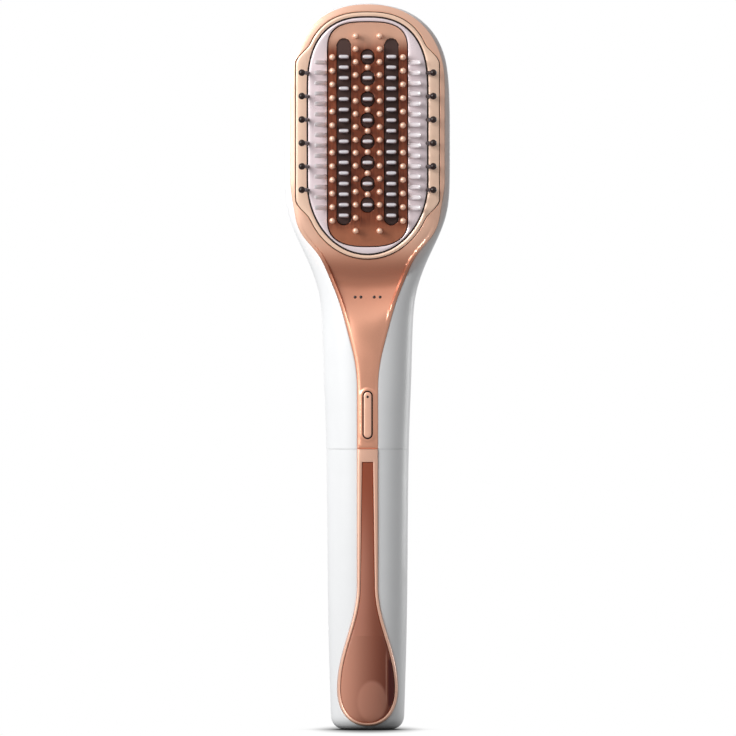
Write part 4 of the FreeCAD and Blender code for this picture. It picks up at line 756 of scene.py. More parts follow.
def milky_comb():
    """White at the tip as a painted highlight, grey on the flanks as the plastic's tint with painted
    shade, and dark at the root as painted shade of the openings, by the depth in Y: the root's share
    also takes off the coat's gloss."""
    g = Graph("milky_comb", Transmission_Weight=0.15, IOR=1.49, Coat_Roughness=0.08)
    fine = g.noise(2.5, 2.0)
    # The root's dark colour is painted shade of the openings behind it.
    root = g.y.ramp(*ROOT_SHADE_FADE)
    body = g.mix(fine, *MILK_AND_TIP_HIGHLIGHT)
    body = g.mix(g.y.ramp(*FLANK_SHADE_FADE), body, FLANK_TINT_AND_SHADE)
    g.set("Base Color", g.mix(root, body, ROOT_PAINTED_SHADE))
    g.set("Coat Weight", (1 - root) * 0.8)
    g.set("Roughness", fine * 0.05 + root * 0.4 + 0.16)
    g.bump(fine, 0.004)
    return g.material


# The window's colours are painted light and shade: lit on the left, shaded on the right and up the
# stem, with a painted reflection in the bowl and a painted glint by the tube.
DROP_FADE, DROP_LIT_AND_SHADED = (-12, 8), (rgb(218, 154, 130), rgb(146, 76, 54))
STEM_FADE, STEM_LIT_AND_SHADED = (-3.5, 4), (rgb(206, 138, 116), rgb(160, 92, 70))
STEM_RISE, STEM_TOP_PAINTED_SHADE = (62, 104), rgb(168, 88, 62)
SHADE_STEP_LINE, STEM_START, SHADE_STEP_SHARE = (37.6, 38.0), (42, 54), 0.35
BOWL_PLACE, BOWL_SIZE, BOWL_SOFT, BOWL_REFLECTION_SHARE = (1.8, 11.5), (5.8, 8.2), (1.25, 0.75), 0.55
BOWL_PAINTED_REFLECTION = rgb(222, 156, 132)
TUBE_SIDES, TUBE_ENDS, TUBE_COLOUR = (8.0, 8.5, 11.4, 10.9), (8.6, 10.6, 29.4, 27.4), rgb(104, 26, 14)
GLINT_SIDES, GLINT_ENDS, GLINT_COLOUR = (7.1, 7.35, 7.9, 7.65), (9, 14, 33, 28), rgb(226, 160, 138)


def within(value, rise_low, rise_high, fall_low, fall_high):
    """1 inside a soft range and 0 outside it: a rising ramp times a falling one."""
    return value.ramp(rise_low, rise_high) * value.ramp(fall_low, fall_high)


def smoked_window():
    """Smoked plastic with painted light and shade: pale on the left and dark on the right and up the
    stem, with a step in that painted shade across it, a painted reflection in the bowl, the dip tube
    and the tube's painted glint mixed in one after another."""
    g = Graph("smoked_window", Transmission_Weight=0.1, IOR=1.49, Specular_IOR_Level=0.2,
              Coat_Weight=0.12, Coat_Roughness=0.08)
    fine = g.noise(2.5, 2.0)
    drop = g.mix(g.x.ramp(*DROP_FADE), *DROP_LIT_AND_SHADED)
    stem = g.mix(g.x.ramp(*STEM_FADE), *STEM_LIT_AND_SHADED)
    stem = g.mix(g.z.ramp(*STEM_RISE), stem, STEM_TOP_PAINTED_SHADE)
    colour = g.mix(g.z.ramp(*SHADE_STEP_LINE), drop, g.mix(SHADE_STEP_SHARE, stem, drop))
    colour = g.mix(g.z.ramp(*STEM_START), colour, stem)
    across = (g.x - BOWL_PLACE[0]) / BOWL_SIZE[0]
    along = (g.z - BOWL_PLACE[1]) / BOWL_SIZE[1]
    # A painted reflection in the bowl.
    bowl = (across * across + along * along).ramp(*BOWL_SOFT)
    colour = g.mix(bowl * BOWL_REFLECTION_SHARE, colour, BOWL_PAINTED_REFLECTION)
    tube = within(g.x, *TUBE_SIDES) * within(g.z, *TUBE_ENDS)
    colour = g.mix(tube, colour, TUBE_COLOUR)
    glint = within(g.x, *GLINT_SIDES) * within(g.z, *GLINT_ENDS)
    colour = g.mix(glint * 0.5, colour, GLINT_COLOUR)
    g.set("Base Color", colour)
    g.set("Roughness", fine * 0.05 + 0.1)
    g.bump(fine, 0.004)
    return g.material


comb_plastic = milky_comb()
smoke_window = smoked_window()
print("materials so far:", len(bpy.data.materials))

# %% [markdown]
# The tank and the back of the handpiece are thin moulded walls, open at the front where another
# part is let in. A Solidify modifier would give a wall, but not the ledge that the other part
# sits on. So each height gives one closed loop: from the edge of the opening round the back, down
# the ledge, and round the inside to where it started. The loops are then joined into one skin.

# %% A casing wall with an open front
WALL = 2.0
LEDGE = (  # across from the opening's edge, depth below the casing's front
    (0.22, 0.0), (0.08, 0.05), (0.0, 0.2), (0.0, 0.9), (-1.35, 0.9), (-1.35, WALL),
)
OPENING_GAP = 0.07  # between a let-in part's outline and the opening's edge


def start_angles(casing, u, width):
    """The angle on the front right where the casing's half width is the one asked for, read off
    between the points of each section."""
    angle = np.linspace(-np.pi / 2, 0, 160)
    x = casing.points(u, angle)[:, :, 0]
    return np.array([np.interp(w, row, angle) for w, row in zip(width, x)])


def flat_disc(ring):
    """Faces of a flat disc over a loop of point numbers: each side joined to the one opposite."""
    k = np.arange(len(ring) // 2 - 1)
    return np.stack([ring[k], ring[k + 1], ring[-2 - k], ring[-1 - k]], -1)


def shell(z, width, low_cap, high_cap, columns=150):
    """Points and faces of the wall; width(z) is the opening's half width, zero where closed.

    The outer and inner skins are the casing's surface at two insets, each from the angle of the
    opening's right edge to its mirror image on the left. Where the opening is closed both edges
    meet on the middle line, and the faces that would lie in the middle plane are left out. An end
    is a rim between the two skins or a flat disc over each of them.
    """
    u = form(0).at_heights(z)
    open_width = width(z)
    skins = []
    for inset, shift in ((0, LEDGE[0][0]), (WALL, LEDGE[-1][0])):
        wanted = np.where(open_width > 0, np.maximum(open_width + shift, 0), 0)
        start = start_angles(form(inset), u, wanted)
        turn = start[:, None] + np.linspace(0, 1, columns) * (np.pi - 2 * start)[:, None]
        skins.append(form(inset).points(u, turn))
    outer, inner = skins
    edge = []
    for across, depth in LEDGE[1:-1]:
        x = np.where(open_width > 0, np.maximum(open_width + across, 0), 0)
        edge.append(np.stack([x, front_y(x, z, depth), z], -1))
    edge = np.stack(edge, 1)
    mirrored = edge * (-1, 1, 1)
    shut = open_width <= 0
    outer[shut, 0, 0] = outer[shut, -1, 0] = inner[shut, 0, 0] = inner[shut, -1, 0] = 0
    loops = np.concatenate([outer, mirrored, inner[:, ::-1], edge[:, ::-1]], axis=1)
    faces = grid_faces(*loops.shape[:2], wrap=True)
    points = loops.reshape(-1, 3)
    membrane = np.all(np.abs(points[faces][:, :, 0]) < 1e-6, axis=1)
    faces = faces[~membrane]
    here = np.arange(len(points)).reshape(loops.shape[:2])
    inner_start = columns + edge.shape[1]
    ends = []
    for row, cap in ((0, low_cap), (-1, high_cap)):
        out, back = here[row, :columns], here[row, inner_start:inner_start + columns][::-1]
        if cap == "rim":
            ends.append(np.stack([out[:-1], out[1:], back[1:], back[:-1]], -1))
        else:
            ends += [flat_disc(out), flat_disc(back)]
    return points, np.concatenate([faces, *ends])


TANK_OPEN, HEAD_OPEN = 1.6, 290.5  # the openings' lowest and highest points
END_ROOM = 0.15  # the rows of an opening's round end reach this far past the outline


def tank_opening(z):
    """The inlay's half width and its gap, and zero under its lowest point."""
    return np.where(z > TANK_OPEN, drop_width(z, -OPENING_GAP), 0)


turn = np.radians(np.linspace(90, 0, 40))
bowl_rows = BOWL_TOP - (BOWL_RISE + END_ROOM) * np.sin(turn) ** (2 / BOWL_POWER)
tank_rows = np.concatenate([np.linspace(0, TANK_OPEN - 0.1, 8), bowl_rows[1:],
                            np.linspace(BOWL_TOP + 1, SEAM_LOW, 96)])
piece("tank_skin", *shell(tank_rows, tank_opening, "disc", "rim"), white,
      "tank", ["tank_shell"], "white_shell")


def panel_opening(z):
    """The panel's half width and its gap, and zero over its highest point."""
    return np.where(z < HEAD_OPEN, panel_width(z, -OPENING_GAP), 0)


turn = np.radians(np.linspace(0, 90, 44))
dome_rows = DOME_LOW + (PANEL_RISE + END_ROOM) * np.sin(turn) ** (2 / PANEL_POWER)
rear_rows = np.concatenate([np.linspace(SEAM_HIGH, DOME_LOW - 0.5, 170), dome_rows[:-1],
                            np.linspace(HEAD_OPEN + 0.05, TOP, 8)])
rear_skin = piece("rear_skin", *shell(rear_rows, panel_opening, "rim", "disc"), white,
                  "handpiece", ["rear_housing"], "white_shell")

# %% [markdown]
# The charging inlet looks out through a small rounded slot in the back. A slot across a finished
# wall is the one thing here that loops can't give, so it is cut with a Boolean modifier.

# %% The slot for the charging inlet
INLET_Z = 120.2
INLET_HALF, INLET_REACH = 1.6 + 0.12, 4.47 + 0.12  # the inlet's half height and width, and room
CUT_FRONT, CUT_BACK = 5.0, 25.0


def cut(obj, outline, front, back):
    """Cuts a prism out of a piece: the outline (x, z) pulled from the depth front to back."""
    n = len(outline)
    points = np.concatenate([loop3(outline, front), loop3(outline, back)]) * MM
    walls = [(k, (k + 1) % n, (k + 1) % n + n, k + n) for k in range(n)]
    mesh = bpy.data.meshes.new("cutter")
    mesh.from_pydata(points.tolist(), [], [*walls, tuple(range(n))[::-1], tuple(range(n, 2 * n))])
    cutter = bpy.data.objects.new("cutter", mesh)
    bpy.context.collection.objects.link(cutter)
    edit = bmesh.new()
    edit.from_mesh(mesh)
    bmesh.ops.recalc_face_normals(edit, faces=edit.faces)
    edit.to_mesh(mesh)
    edit.free()
    change = obj.modifiers.new("cut", "BOOLEAN")
    change.object, change.operation, change.solver = cutter, "DIFFERENCE", "EXACT"
    seen = obj.evaluated_get(bpy.context.evaluated_depsgraph_get())
    edit = bmesh.new()
    edit.from_mesh(seen.to_mesh())
    seen.to_mesh_clear()
    obj.modifiers.clear()
    edit.to_mesh(obj.data)
    edit.free()
    obj.data.set_sharp_from_angle(angle=math.radians(35))
    bpy.data.objects.remove(cutter)
    bpy.data.meshes.remove(mesh)
    print(f"{obj.name}: {len(obj.data.polygons)} faces after the cut")


inlet_line = capsule(INLET_HALF, -INLET_REACH, INLET_REACH)[:, ::-1] + (0, INLET_Z)
cut(rear_skin, inlet_line, CUT_FRONT, CUT_BACK)

# %% [markdown]
# The rose panel is one moulding over the whole front. It could be joined from patches, but their
# seams would show in the paint, so it is one sheet whose depth follows four rules: it stands a
# little proud of the casing on the spine, lies flat round the head, sinks back under the head's
# chin, and dips into a scooped valley between two thin rims. Its edges are rounded.

# %% The rose panel: where it lies
PROUD = -0.6
HEAD_FACE = -13.0
FAR = 10.0  # behind everything, for a rule that doesn't hold at some height
CHIN = 187.0
SINK = ((-10.5, 8.0), (-8.5, 5.5), (-6.0, 3.4), (-3.5, 2.3), (-0.5, 1.4), (2.5, 0.6), (6.5, 0.1),
        (11.0, 0.0))  # height over the chin, depth behind the head's face
SINK_LOW, SINK_HIGH = CHIN + SINK[0][0], CHIN + SINK[-1][0]
sink_depth = curve([CHIN + rise for rise, _ in SINK], [HEAD_FACE + back for _, back in SINK])
SCOOP = ((157, -16.21), (161.8, -14.98), (166.8, -13.22), (171.7, -11.02), (175.8, -9.22),
         (179.3, -8.8), (181, -9.12), (182.5, -9.8), (184, -10.6), (185.5, -11.3), (187, -11.8),
         (189, -12.3), (192, -12.8), (195, -12.98), (198, -13.02))  # height, depth of the valley
scoop_depth = curve([height for height, _ in SCOOP], [depth for _, depth in SCOOP])
SLOPE_BELOW, SLOPE_ABOVE = 0.26, 0.1  # how fast the valley's floor leaves the table's two ends
CHIN_AXIS = CHIN + 50.0  # the middle of the circles that bow the valley
SHARP, BLEND, BLEND_TOP, BLEND_REACH = 0.04, 1.2, 182, 10  # softness of the valley's borders
SPINE_TOP, HEAD_BASE = 188.1, 181
RIM, RIM_STEP = 1.6, 0.7  # the rims' width and that of the step down into the valley


def eased(share):
    """A share from 0 to 1 made level at both ends: its square times three less twice itself."""
    return share ** 2 * (3 - 2 * share)


def panel_y(x, z):
    """Depth of the rose panel's surface without its rounded edges.

    The panel is the nearer of the spine's and the head's surface. The valley's floor depends on
    how far a place is from the chin's axis, so it bows with the chin. It is blended into the
    surface above by a small parabola, and it ends at the rims by an eased share.
    """
    head = np.maximum(HEAD_FACE, sink_depth(np.clip(z, SINK_LOW, SINK_HIGH)))
    head = np.where(z < SINK_LOW, FAR, head)
    body = np.where(z < SPINE_TOP, front_y(x, z, PROUD), FAR)
    y = np.minimum(head, body)
    bowed = CHIN_AXIS - np.hypot(x, np.maximum(CHIN_AXIS - z, 0))
    reach = np.clip(bowed, SCOOP[0][0], SCOOP[-1][0])
    under, over = np.maximum(reach - bowed, 0), np.maximum(bowed - reach, 0)
    floor = scoop_depth(reach) - SLOPE_BELOW * under - SLOPE_ABOVE * over
    soft = SHARP + BLEND * np.clip((BLEND_TOP - bowed) / BLEND_REACH, 0, 1)
    base = np.where(z > HEAD_BASE, HEAD_FACE, body)
    blend = np.clip((floor - base) / soft, -1, 1)
    floor = np.where(np.abs(blend) < 1, base + soft * (1 + blend) ** 2 / 4, np.maximum(floor, base))
    rim = np.clip((panel_width(z) - np.abs(x) - RIM + RIM_STEP / 2) / RIM_STEP, 0, 1)
    return y + (floor - y) * eased(rim)


spine, valley = panel_y(np.zeros(2), np.array([126.0, 176.0]))
print("panel on the spine and in the valley, mm:", round(float(spine), 2), round(float(valley), 2))

# %% [markdown]
# The panel has holes for the button and four lamps, a rim lifted round the button, a soft outer
# edge and a small lip where the head's bezel is let in. Each is a rule on the distance to an
# outline, added to the depth. The sheet's own lines, its guides, follow the outlines as well, or
# its triangles would saw at the edges.

# %% The rose panel: edges, holes and the piece
BUTTON_LOW, BUTTON_HIGH = 116.45, 135.85
halo = capsule(3.1, BUTTON_LOW - 1, BUTTON_HIGH + 1)
button_hole = capsule(2.1, BUTTON_LOW, BUTTON_HIGH)
HALO_SOFT, HALO_PROUD = 0.5, 0.25
LAMP_Z, LAMP_X, LAMP_HOLE = 173.3, (-5.0, -2.66, 2.66, 5.0), 0.62
EDGE, EDGE_FALL = (1.3, 4.4), (0.5, 0.9)  # the soft edge's width and fall, on spine and head
EDGE_LOW, EDGE_REACH = 188, 10  # from here up, over so many mm, the head's take over
BEZEL_HOLE, LIP = bezel_line(-0.2), 0.3
PANEL_STEP, PANEL_THICK, PANEL_SEAT = 0.45, 1.2, 0.85
EDGE_GUIDES, RIM_GUIDES, LIP_GUIDE = (0.12, 0.35, 0.8), (1.2, 1.45, 1.7, 1.95), bezel_line(-0.5)
GUIDE_LOW, GUIDE_HIGH, GUIDE_STEP = 150, 186.9, 0.3


def disc_line(x, z, radius, count=20):
    """A circle's outline."""
    turn = np.linspace(0, 2 * np.pi, count, endpoint=False)
    return np.stack([x + radius * np.cos(turn), z + radius * np.sin(turn)], -1)


def panel_depth(x, z):
    """The panel's depth with its edges: a parabola along the outline, a quarter circle at the
    bezel's hole and an eased step up to the rim round the button."""
    flat = np.stack([x, z], -1)
    y = panel_y(x, z)
    on_head = np.clip((z - EDGE_LOW) / EDGE_REACH, 0, 1)
    wide, fall = (low + (high - low) * on_head for low, high in (EDGE, EDGE_FALL))
    y += fall * np.clip(1 - distance(flat, panel_line(0)) / wide, 0, 1) ** 2
    y += rounding(distance(flat, BEZEL_HOLE), LIP)
    from_halo = np.where(inside(flat, halo), -1, 1) * distance(flat, halo)
    return y - HALO_PROUD * eased(np.clip(0.5 - from_halo / HALO_SOFT, 0, 1))


def thick(points, triangles, back):
    """A sheet made solid: the sheet, its copy pushed back, and walls along every free edge. An
    edge is free if only one triangle has it."""
    sides = np.concatenate([triangles[:, [0, 1]], triangles[:, [1, 2]], triangles[:, [2, 0]]])
    order = np.sort(sides, axis=1)
    _, first, count = np.unique(order, axis=0, return_index=True, return_counts=True)
    rim = sides[first[count == 1]]
    n = len(points)
    walls = np.stack([rim[:, 1], rim[:, 0], rim[:, 0] + n, rim[:, 1] + n], -1)
    behind = points.copy()
    behind[:, 1] += back
    return np.concatenate([points, behind]), [triangles, triangles[:, ::-1] + n, walls]


def rim_guide(inset, low, high):
    """A loop beside the neck's two edges; it crosses the panel in short steps at both ends."""
    rows = np.linspace(high, low, 90)
    side = np.stack([panel_width(rows, inset), rows], -1)
    share = np.linspace(-1, 1, 60)[1:-1]
    top = np.stack([share * side[0, 0], high + 0 * share], -1)
    bottom = np.stack([-share * side[-1, 0], low + 0 * share], -1)
    return np.concatenate([side, bottom, (side * (-1, 1))[::-1], top])


panel_holes = [BEZEL_HOLE, button_hole, *[disc_line(x, LAMP_Z, LAMP_HOLE) for x in LAMP_X]]
panel_guides = [panel_line(inset, SEAM_HIGH + inset) for inset in EDGE_GUIDES]
for k, inset in enumerate(RIM_GUIDES):
    panel_guides.append(rim_guide(inset, GUIDE_LOW + GUIDE_STEP * k, GUIDE_HIGH - GUIDE_STEP * k))
panel_guides.append(LIP_GUIDE)
panel_sheet = sheet(panel_line(0), panel_holes, panel_guides, PANEL_STEP, panel_depth)
x, y, z = panel_sheet[0].T
at_edge = distance(np.stack([x, z], -1), panel_line(0)) < 0.001
to_seat = np.maximum(front_y(x, z, PANEL_SEAT) - y, PANEL_THICK)
piece("front_panel", *thick(*panel_sheet, np.where(at_edge, to_seat, PANEL_THICK)),
      rose, "handpiece", ["front_housing"], "rose_panel", weld=False)

# %% [markdown]
# The bezel, the guard ring and the tank's trim are closed frames. A bevelled curve would make a
# plain ring, but these change their width on the way round. So each is one band run over a list
# of outlines: up the outside, over two small roundings and back down the inside.

# %% Frames of the head
SOFT_EDGE = 0.25


def crowned(outer, inner, top, crown, soft, steps=6):
    """Loops over the face of a frame: a rounded edge, a middle raised by a sine, a rounded edge.
    The loops between are shares of the outer and the inner outline."""
    loops = [loop3(outer(0), top + soft), loop3(outer(soft * 0.3), top + soft * 0.3)]
    for share in np.linspace(0, 1, steps):
        line = outer(soft) * (1 - share) + inner(-soft) * share
        loops.append(loop3(line, top - crown * np.sin(np.pi * share)))
    return [*loops, loop3(inner(-soft * 0.3), top + soft * 0.3), loop3(inner(0), top + soft)]


BEZEL_GAP, BEZEL_CROWN, GROOVE, GROOVE_FLOOR = 0.08, 0.16, 0.5, -11.1
FLANGE, FLANGE_FRONT, FLANGE_BACK = -0.9, -11.6, -10.7  # the rim that clamps it behind the panel
SEAT, SEAT_BACK = 0.6, -10.4  # its ledge under the guard ring


def bezel_outer(inset):
    """The bezel's outline, a gap inside the panel's hole."""
    return bezel_line(inset + BEZEL_GAP)


def groove_line(inset):
    """The bezel's inside: the ring's outline with a groove's width round it."""
    return ring_line(inset - GROOVE)


bezel_loops = [
    loop3(bezel_line(FLANGE), FLANGE_BACK),
    loop3(bezel_line(FLANGE), FLANGE_FRONT),
    loop3(bezel_outer(0), FLANGE_FRONT),
    *crowned(bezel_outer, groove_line, HEAD_FACE + 0.02, BEZEL_CROWN, SOFT_EDGE),
    loop3(groove_line(0), GROOVE_FLOOR),
    loop3(ring_line(SEAT), GROOVE_FLOOR),
    loop3(ring_line(SEAT), SEAT_BACK),
]
piece("bezel", *band(bezel_loops + bezel_loops[:1]), rose_frame_lit, "handpiece",
      ["inner_bezel"], "rose_panel")
GUARD_GAP, GUARD_FACE, GUARD_CROWN, GUARD_BACK = 0.15, -13.25, 0.15, -11.15


def guard_outer(inset):
    """The ring's outline less a gap."""
    return ring_line(inset + GUARD_GAP)


def guard_inner(inset):
    """The plate's outline with a gap round it."""
    return plate_line(inset - GUARD_GAP)


guard_loops = [
    loop3(guard_outer(0), GUARD_BACK),
    *crowned(guard_outer, guard_inner, GUARD_FACE, GUARD_CROWN, SOFT_EDGE),
    loop3(guard_inner(0), GUARD_BACK),
]
piece("guard_frame", *band(guard_loops + guard_loops[:1]), pearl, "handpiece",
      ["guard_ring"], "pearl_ring")

# %% [markdown]
# The tank's trim follows the casing's curve in depth, so its loops are laid on the front at a
# depth below it instead of on a flat level. Its top is a solid bar above the window.

# %% The tank's trim
TRIM_SOFT, TRIM_WALL, TRIM_SEAT, TRIM_CROWN = 0.35, 1.2, 0.9, 0.05
WINDOW_TOP, WINDOW_TAPER = 107.4, 0.7


def laid(line, depth):
    """An outline laid on the casing's front, so far below it."""
    return loop3(line, front_y(line[:, 0], line[:, 1], depth))


def trim_loops():
    """The trim's loops from its outer foot over the face to its inner foot."""
    soft = TRIM_SOFT
    outer = [drop_line(inset, SEAM_LOW) for inset in (0, 0, soft * 0.3, soft)]
    inner = [drop_line(inset, WINDOW_TOP, WINDOW_TAPER)
             for inset in (TRIM_WALL - soft, TRIM_WALL - soft * 0.3, TRIM_WALL, TRIM_WALL)]
    climb = (TRIM_SEAT, PROUD + soft, PROUD + soft * 0.3, PROUD)
    middle = [laid(outer[-1] * (1 - s) + inner[0] * s, PROUD - TRIM_CROWN) for s in (0.33, 0.67)]
    loops = [laid(line, depth) for line, depth in zip(outer, climb)]
    return [*loops, *middle, *[laid(line, depth) for line, depth in zip(inner, climb[::-1])]]


trim_band = trim_loops()
piece("tank_trim", *band(trim_band + trim_band[:1]), rose_trim_lit, "tank", ["tank_trim_frame"],
      "rose_panel")

# %% [markdown]
# The window lies a little below its frame and is as thick as the wall. It is one solid sheet, so
# that it has a real edge all round.

# %% Window
PANE_DEPTH, PANE_SOFT, PANE_THICK, PANE_STEP = -0.3, 0.3, 1.9, 0.7
window_line = drop_line(TRIM_WALL + 0.05, 107.3, WINDOW_TAPER)
window_guide = drop_line(1.6, 106.9, WINDOW_TAPER)


def pane_y(x, z):
    """The pane lies just under its frame, and its edge falls away by a quarter circle."""
    near = distance(np.stack([x, z], -1), window_line)
    return front_y(x, z, PANE_DEPTH) + rounding(near, PANE_SOFT)


window_sheet = sheet(window_line, [], [window_guide], PANE_STEP, pane_y)
piece("window_pane", *thick(*window_sheet, PANE_THICK), smoke_window, "tank",
      ["tank_window"], "tinted_window", weld=False)

# %% [markdown]
# The heated plate is a pressed sheet with two long slots and a row of short windows, and the
# combs come up through them. It is cut by outlines rather than by Booleans, since the edge of
# every opening can then be rounded by its distance.

# %% Heated plate
PLATE_Y, PLATE_THICK, PLATE_STEP, PLATE_SOFT = -12.2, 2.0, 0.5, 0.35
PITCH, SLOT_X, SLOT_HALF, SLOT_LOW, SLOT_HIGH = 4.23, 9.5, 2.65, 202.3, 276.5
VENTS, VENT_LOW, VENT_HALF, VENT_REACH = 8, 210.13, 2.5, 2.8


def vent(k, inset=0.0):
    """The outline of window number k, from below."""
    middle, reach = VENT_LOW + 2 * PITCH * k, VENT_REACH - inset
    return capsule(VENT_HALF - inset, middle - reach, middle + reach)


def slot(side, inset=0.0):
    """The outline of the long slot on one side, -1 or 1."""
    return capsule(SLOT_HALF - inset, SLOT_LOW + inset, SLOT_HIGH - inset, side * SLOT_X)


plate_holes = [vent(k) for k in range(VENTS)] + [slot(-1), slot(1)]


def plate_y(x, z):
    """The plate's level, with a quarter circle at the nearest edge."""
    flat = np.stack([x, z], -1)
    near = np.min([distance(flat, line) for line in (plate_line(0.1), *plate_holes)], axis=0)
    return PLATE_Y + rounding(near, PLATE_SOFT)


plate_sheet = sheet(plate_line(0.1), plate_holes, [plate_line(0.3), plate_line(0.6)], PLATE_STEP,
                    plate_y)
piece("heated_plate", *thick(*plate_sheet, PLATE_THICK), bronze, "handpiece",
      ["heater_plate"], "bronze_plate", weld=False)

# %% [markdown]
# Pins and bristles are turned shapes with a ball at the tip. Each could be an instance of one
# object; here one profile is spun into all of them at once, so that a row is one piece: every
# copy is the same profile moved to its own foot and leant its own way.

# %% Pins and bristles
def copies(local, feet):
    """Points and faces of a (row, column, xyz) grid repeated at the feet: each copy is the grid
    plus its foot."""
    rows, sides = local.shape[:2]
    points = local + np.array(feet, float)[:, None, None]
    shift = np.arange(len(feet))[:, None, None] * rows * sides
    return points.reshape(-1, 3), (grid_faces(rows, sides, wrap=True) + shift).reshape(-1, 4)


def turned(feet, lean, profile, sides=16):
    """Copies of a turned profile of (height, radius): each height's circle is the radius times the
    cosine and the sine of the turn. lean is in degrees from -Y to +X, a rotation in that plane."""
    turn = np.linspace(0, 2 * np.pi, sides, endpoint=False)
    rise, radius = np.array(profile).T[:, :, None]
    across, out, along = radius * np.cos(turn), -rise + 0 * turn, radius * np.sin(turn)
    angle = math.radians(lean)
    x = across * math.cos(angle) - out * math.sin(angle)
    y = across * math.sin(angle) + out * math.cos(angle)
    return copies(np.stack([x, y, along], -1), feet)


def ball_profile(root, foot, neck, ball, tip):
    """A stem with a ball on top, as (height, radius) pairs from the root up: the stem goes from
    the foot's radius to the neck's by a power of its share, and the ball is an arc."""
    turn = np.radians(np.linspace(-50, 89, 12))
    centre = tip - ball
    cap = np.stack([centre + ball * np.sin(turn), ball * np.cos(turn)], -1)
    share = np.linspace(0, 1, 6)[:-1]
    stem = np.stack([share * (cap[0, 0] - 0.3), foot + (neck - foot) * share ** 0.6], -1)
    return [(root, foot), *stem.tolist(), *cap.tolist()]


PIN_ROWS = ((14.1, 203.8, 5.45, 13), (4.8, 199.8, 5.19, 16))  # x, lowest, pitch, count
pin_feet = []
for x, first, pitch, count in PIN_ROWS:
    pin_feet += [(side * x, PLATE_Y, first + pitch * i) for side in (-1, 1) for i in range(count)]
pin_feet += [(0, PLATE_Y, VENT_LOW + PITCH + 2 * PITCH * k) for k in range(VENTS - 1)]
pin_profile = ball_profile(root=-0.3, foot=1.3, neck=0.8, ball=1.2, tip=5.8)
piece("plate_pin_field", *turned(pin_feet, 0, pin_profile), rose_pin, "handpiece",
      ["plate_pins"], "rose_pins")

BRISTLES, BRISTLE_LOW, BRISTLE_PITCH = 6, 216.1, 9.36
BRISTLE_TIP, BRISTLE_LEAN, BRISTLE_BALL = -19.6, 20, 1.4
bristle_long = (HEAD_FACE - BRISTLE_TIP) / math.cos(math.radians(BRISTLE_LEAN)) + 1.3
bristle_profile = ball_profile(root=-1.5, foot=0.8, neck=0.8, ball=BRISTLE_BALL, tip=bristle_long)
for side, name in ((1, "right"), (-1, "left")):
    feet = [(side * RING["half"], HEAD_FACE, BRISTLE_LOW + BRISTLE_PITCH * i) for i in range(BRISTLES)]
    piece(f"bristle_row_{name}", *turned(feet, side * BRISTLE_LEAN, bristle_profile), bristle_black,
          "handpiece", [f"bristles_{name}"], "dark_bristle")

# %% [markdown]
# The comb teeth are flat blades, broad across the brush and thin along it, drawn in towards a
# blunt tip. A bevelled box would do for one; a loft of rounded rectangles gives its taper by a
# short table, and the whole comb with its bars is one moulding.

# %% Comb teeth
TOOTH = ((-11.6, 0.02, 0.02), (-11.6, 2.1, 1.05), (-14.5, 2.1, 1.0), (-16.8, 2.06, 0.9),
         (-17.9, 2.0, 0.75), (-18.35, 1.85, 0.55), (-18.6, 1.5, 0.25),
         (-18.6, 0.02, 0.02))  # y, half across, half along
TOOTH_POWER = 3.5
TEETH, TEETH_LOW = 16, 205.9
BAR_GAP, BAR_Y, BAR_THICK, BAR_STEP = 0.1, -12.0, 1.8, 0.9


def rounded(value, power):
    """A sine or cosine to a power, with its sign kept: it squares the circle's corners."""
    return np.sign(value) * np.abs(value) ** power


def blades(centres, rows, sides=20, power=TOOTH_POWER):
    """Lofted teeth: each row's outline is a superellipse of its two half sizes."""
    turn = np.linspace(0, 2 * np.pi, sides, endpoint=False)
    c, s = (rounded(value, 2 / power) for value in (np.cos(turn), np.sin(turn)))
    y, across, along = np.array(rows).T[:, :, None]
    return copies(np.stack([across * c, y + 0 * c, along * s], -1), centres)


def bar_y(x, z):
    """One level for every place."""
    return np.full(len(x), BAR_Y)


def comb(name, centres, bases, node):
    """A clear comb: its teeth and the bars that fill the plate's openings."""
    parts = [blades(centres, TOOTH)]
    parts += [thick(*sheet(base, [], [], BAR_STEP, bar_y), BAR_THICK) for base in bases]
    points, faces = joined(parts)
    piece(name, points, faces, comb_plastic, "handpiece", [node], "clear_comb", weld=False)


for side, name in ((-1, "left"), (1, "right")):
    centres = [(side * SLOT_X, 0, TEETH_LOW + PITCH * k) for k in range(TEETH)]
    comb(f"teeth_{name}", centres, [slot(side, BAR_GAP)], f"comb_{name}")
comb("teeth_centre", [(0, 0, VENT_LOW + 2 * PITCH * k) for k in range(VENTS)],
     [vent(k, BAR_GAP) for k in range(VENTS)], "comb_centre")

# %% [markdown]
# The small side teeth are hooks that lean out from the guard ring to the head's edge. Each is a
# lens-shaped section carried along a bent path, and the path is a short table.

# %% Side teeth
SIDE_TOOTH = ((16.0, -12.6, 0.6), (16.2, -13.4, 0.6), (17.4, -14.6, 0.62), (18.7, -16.0, 0.6),
              (19.9, -17.1, 0.5), (20.4, -17.6, 0.36), (20.6, -17.8, 0.15))  # x, y, half width
SIDE_OUT, SIDE_HALF, SIDE_LEAN, SIDE_FLAT, SIDE_POWER = 0.6, 0.6, math.radians(45), 0.8, 0.75
SIDE_TEETH, SIDE_LOW, SIDE_PITCH = 15, 209.0, 4.15


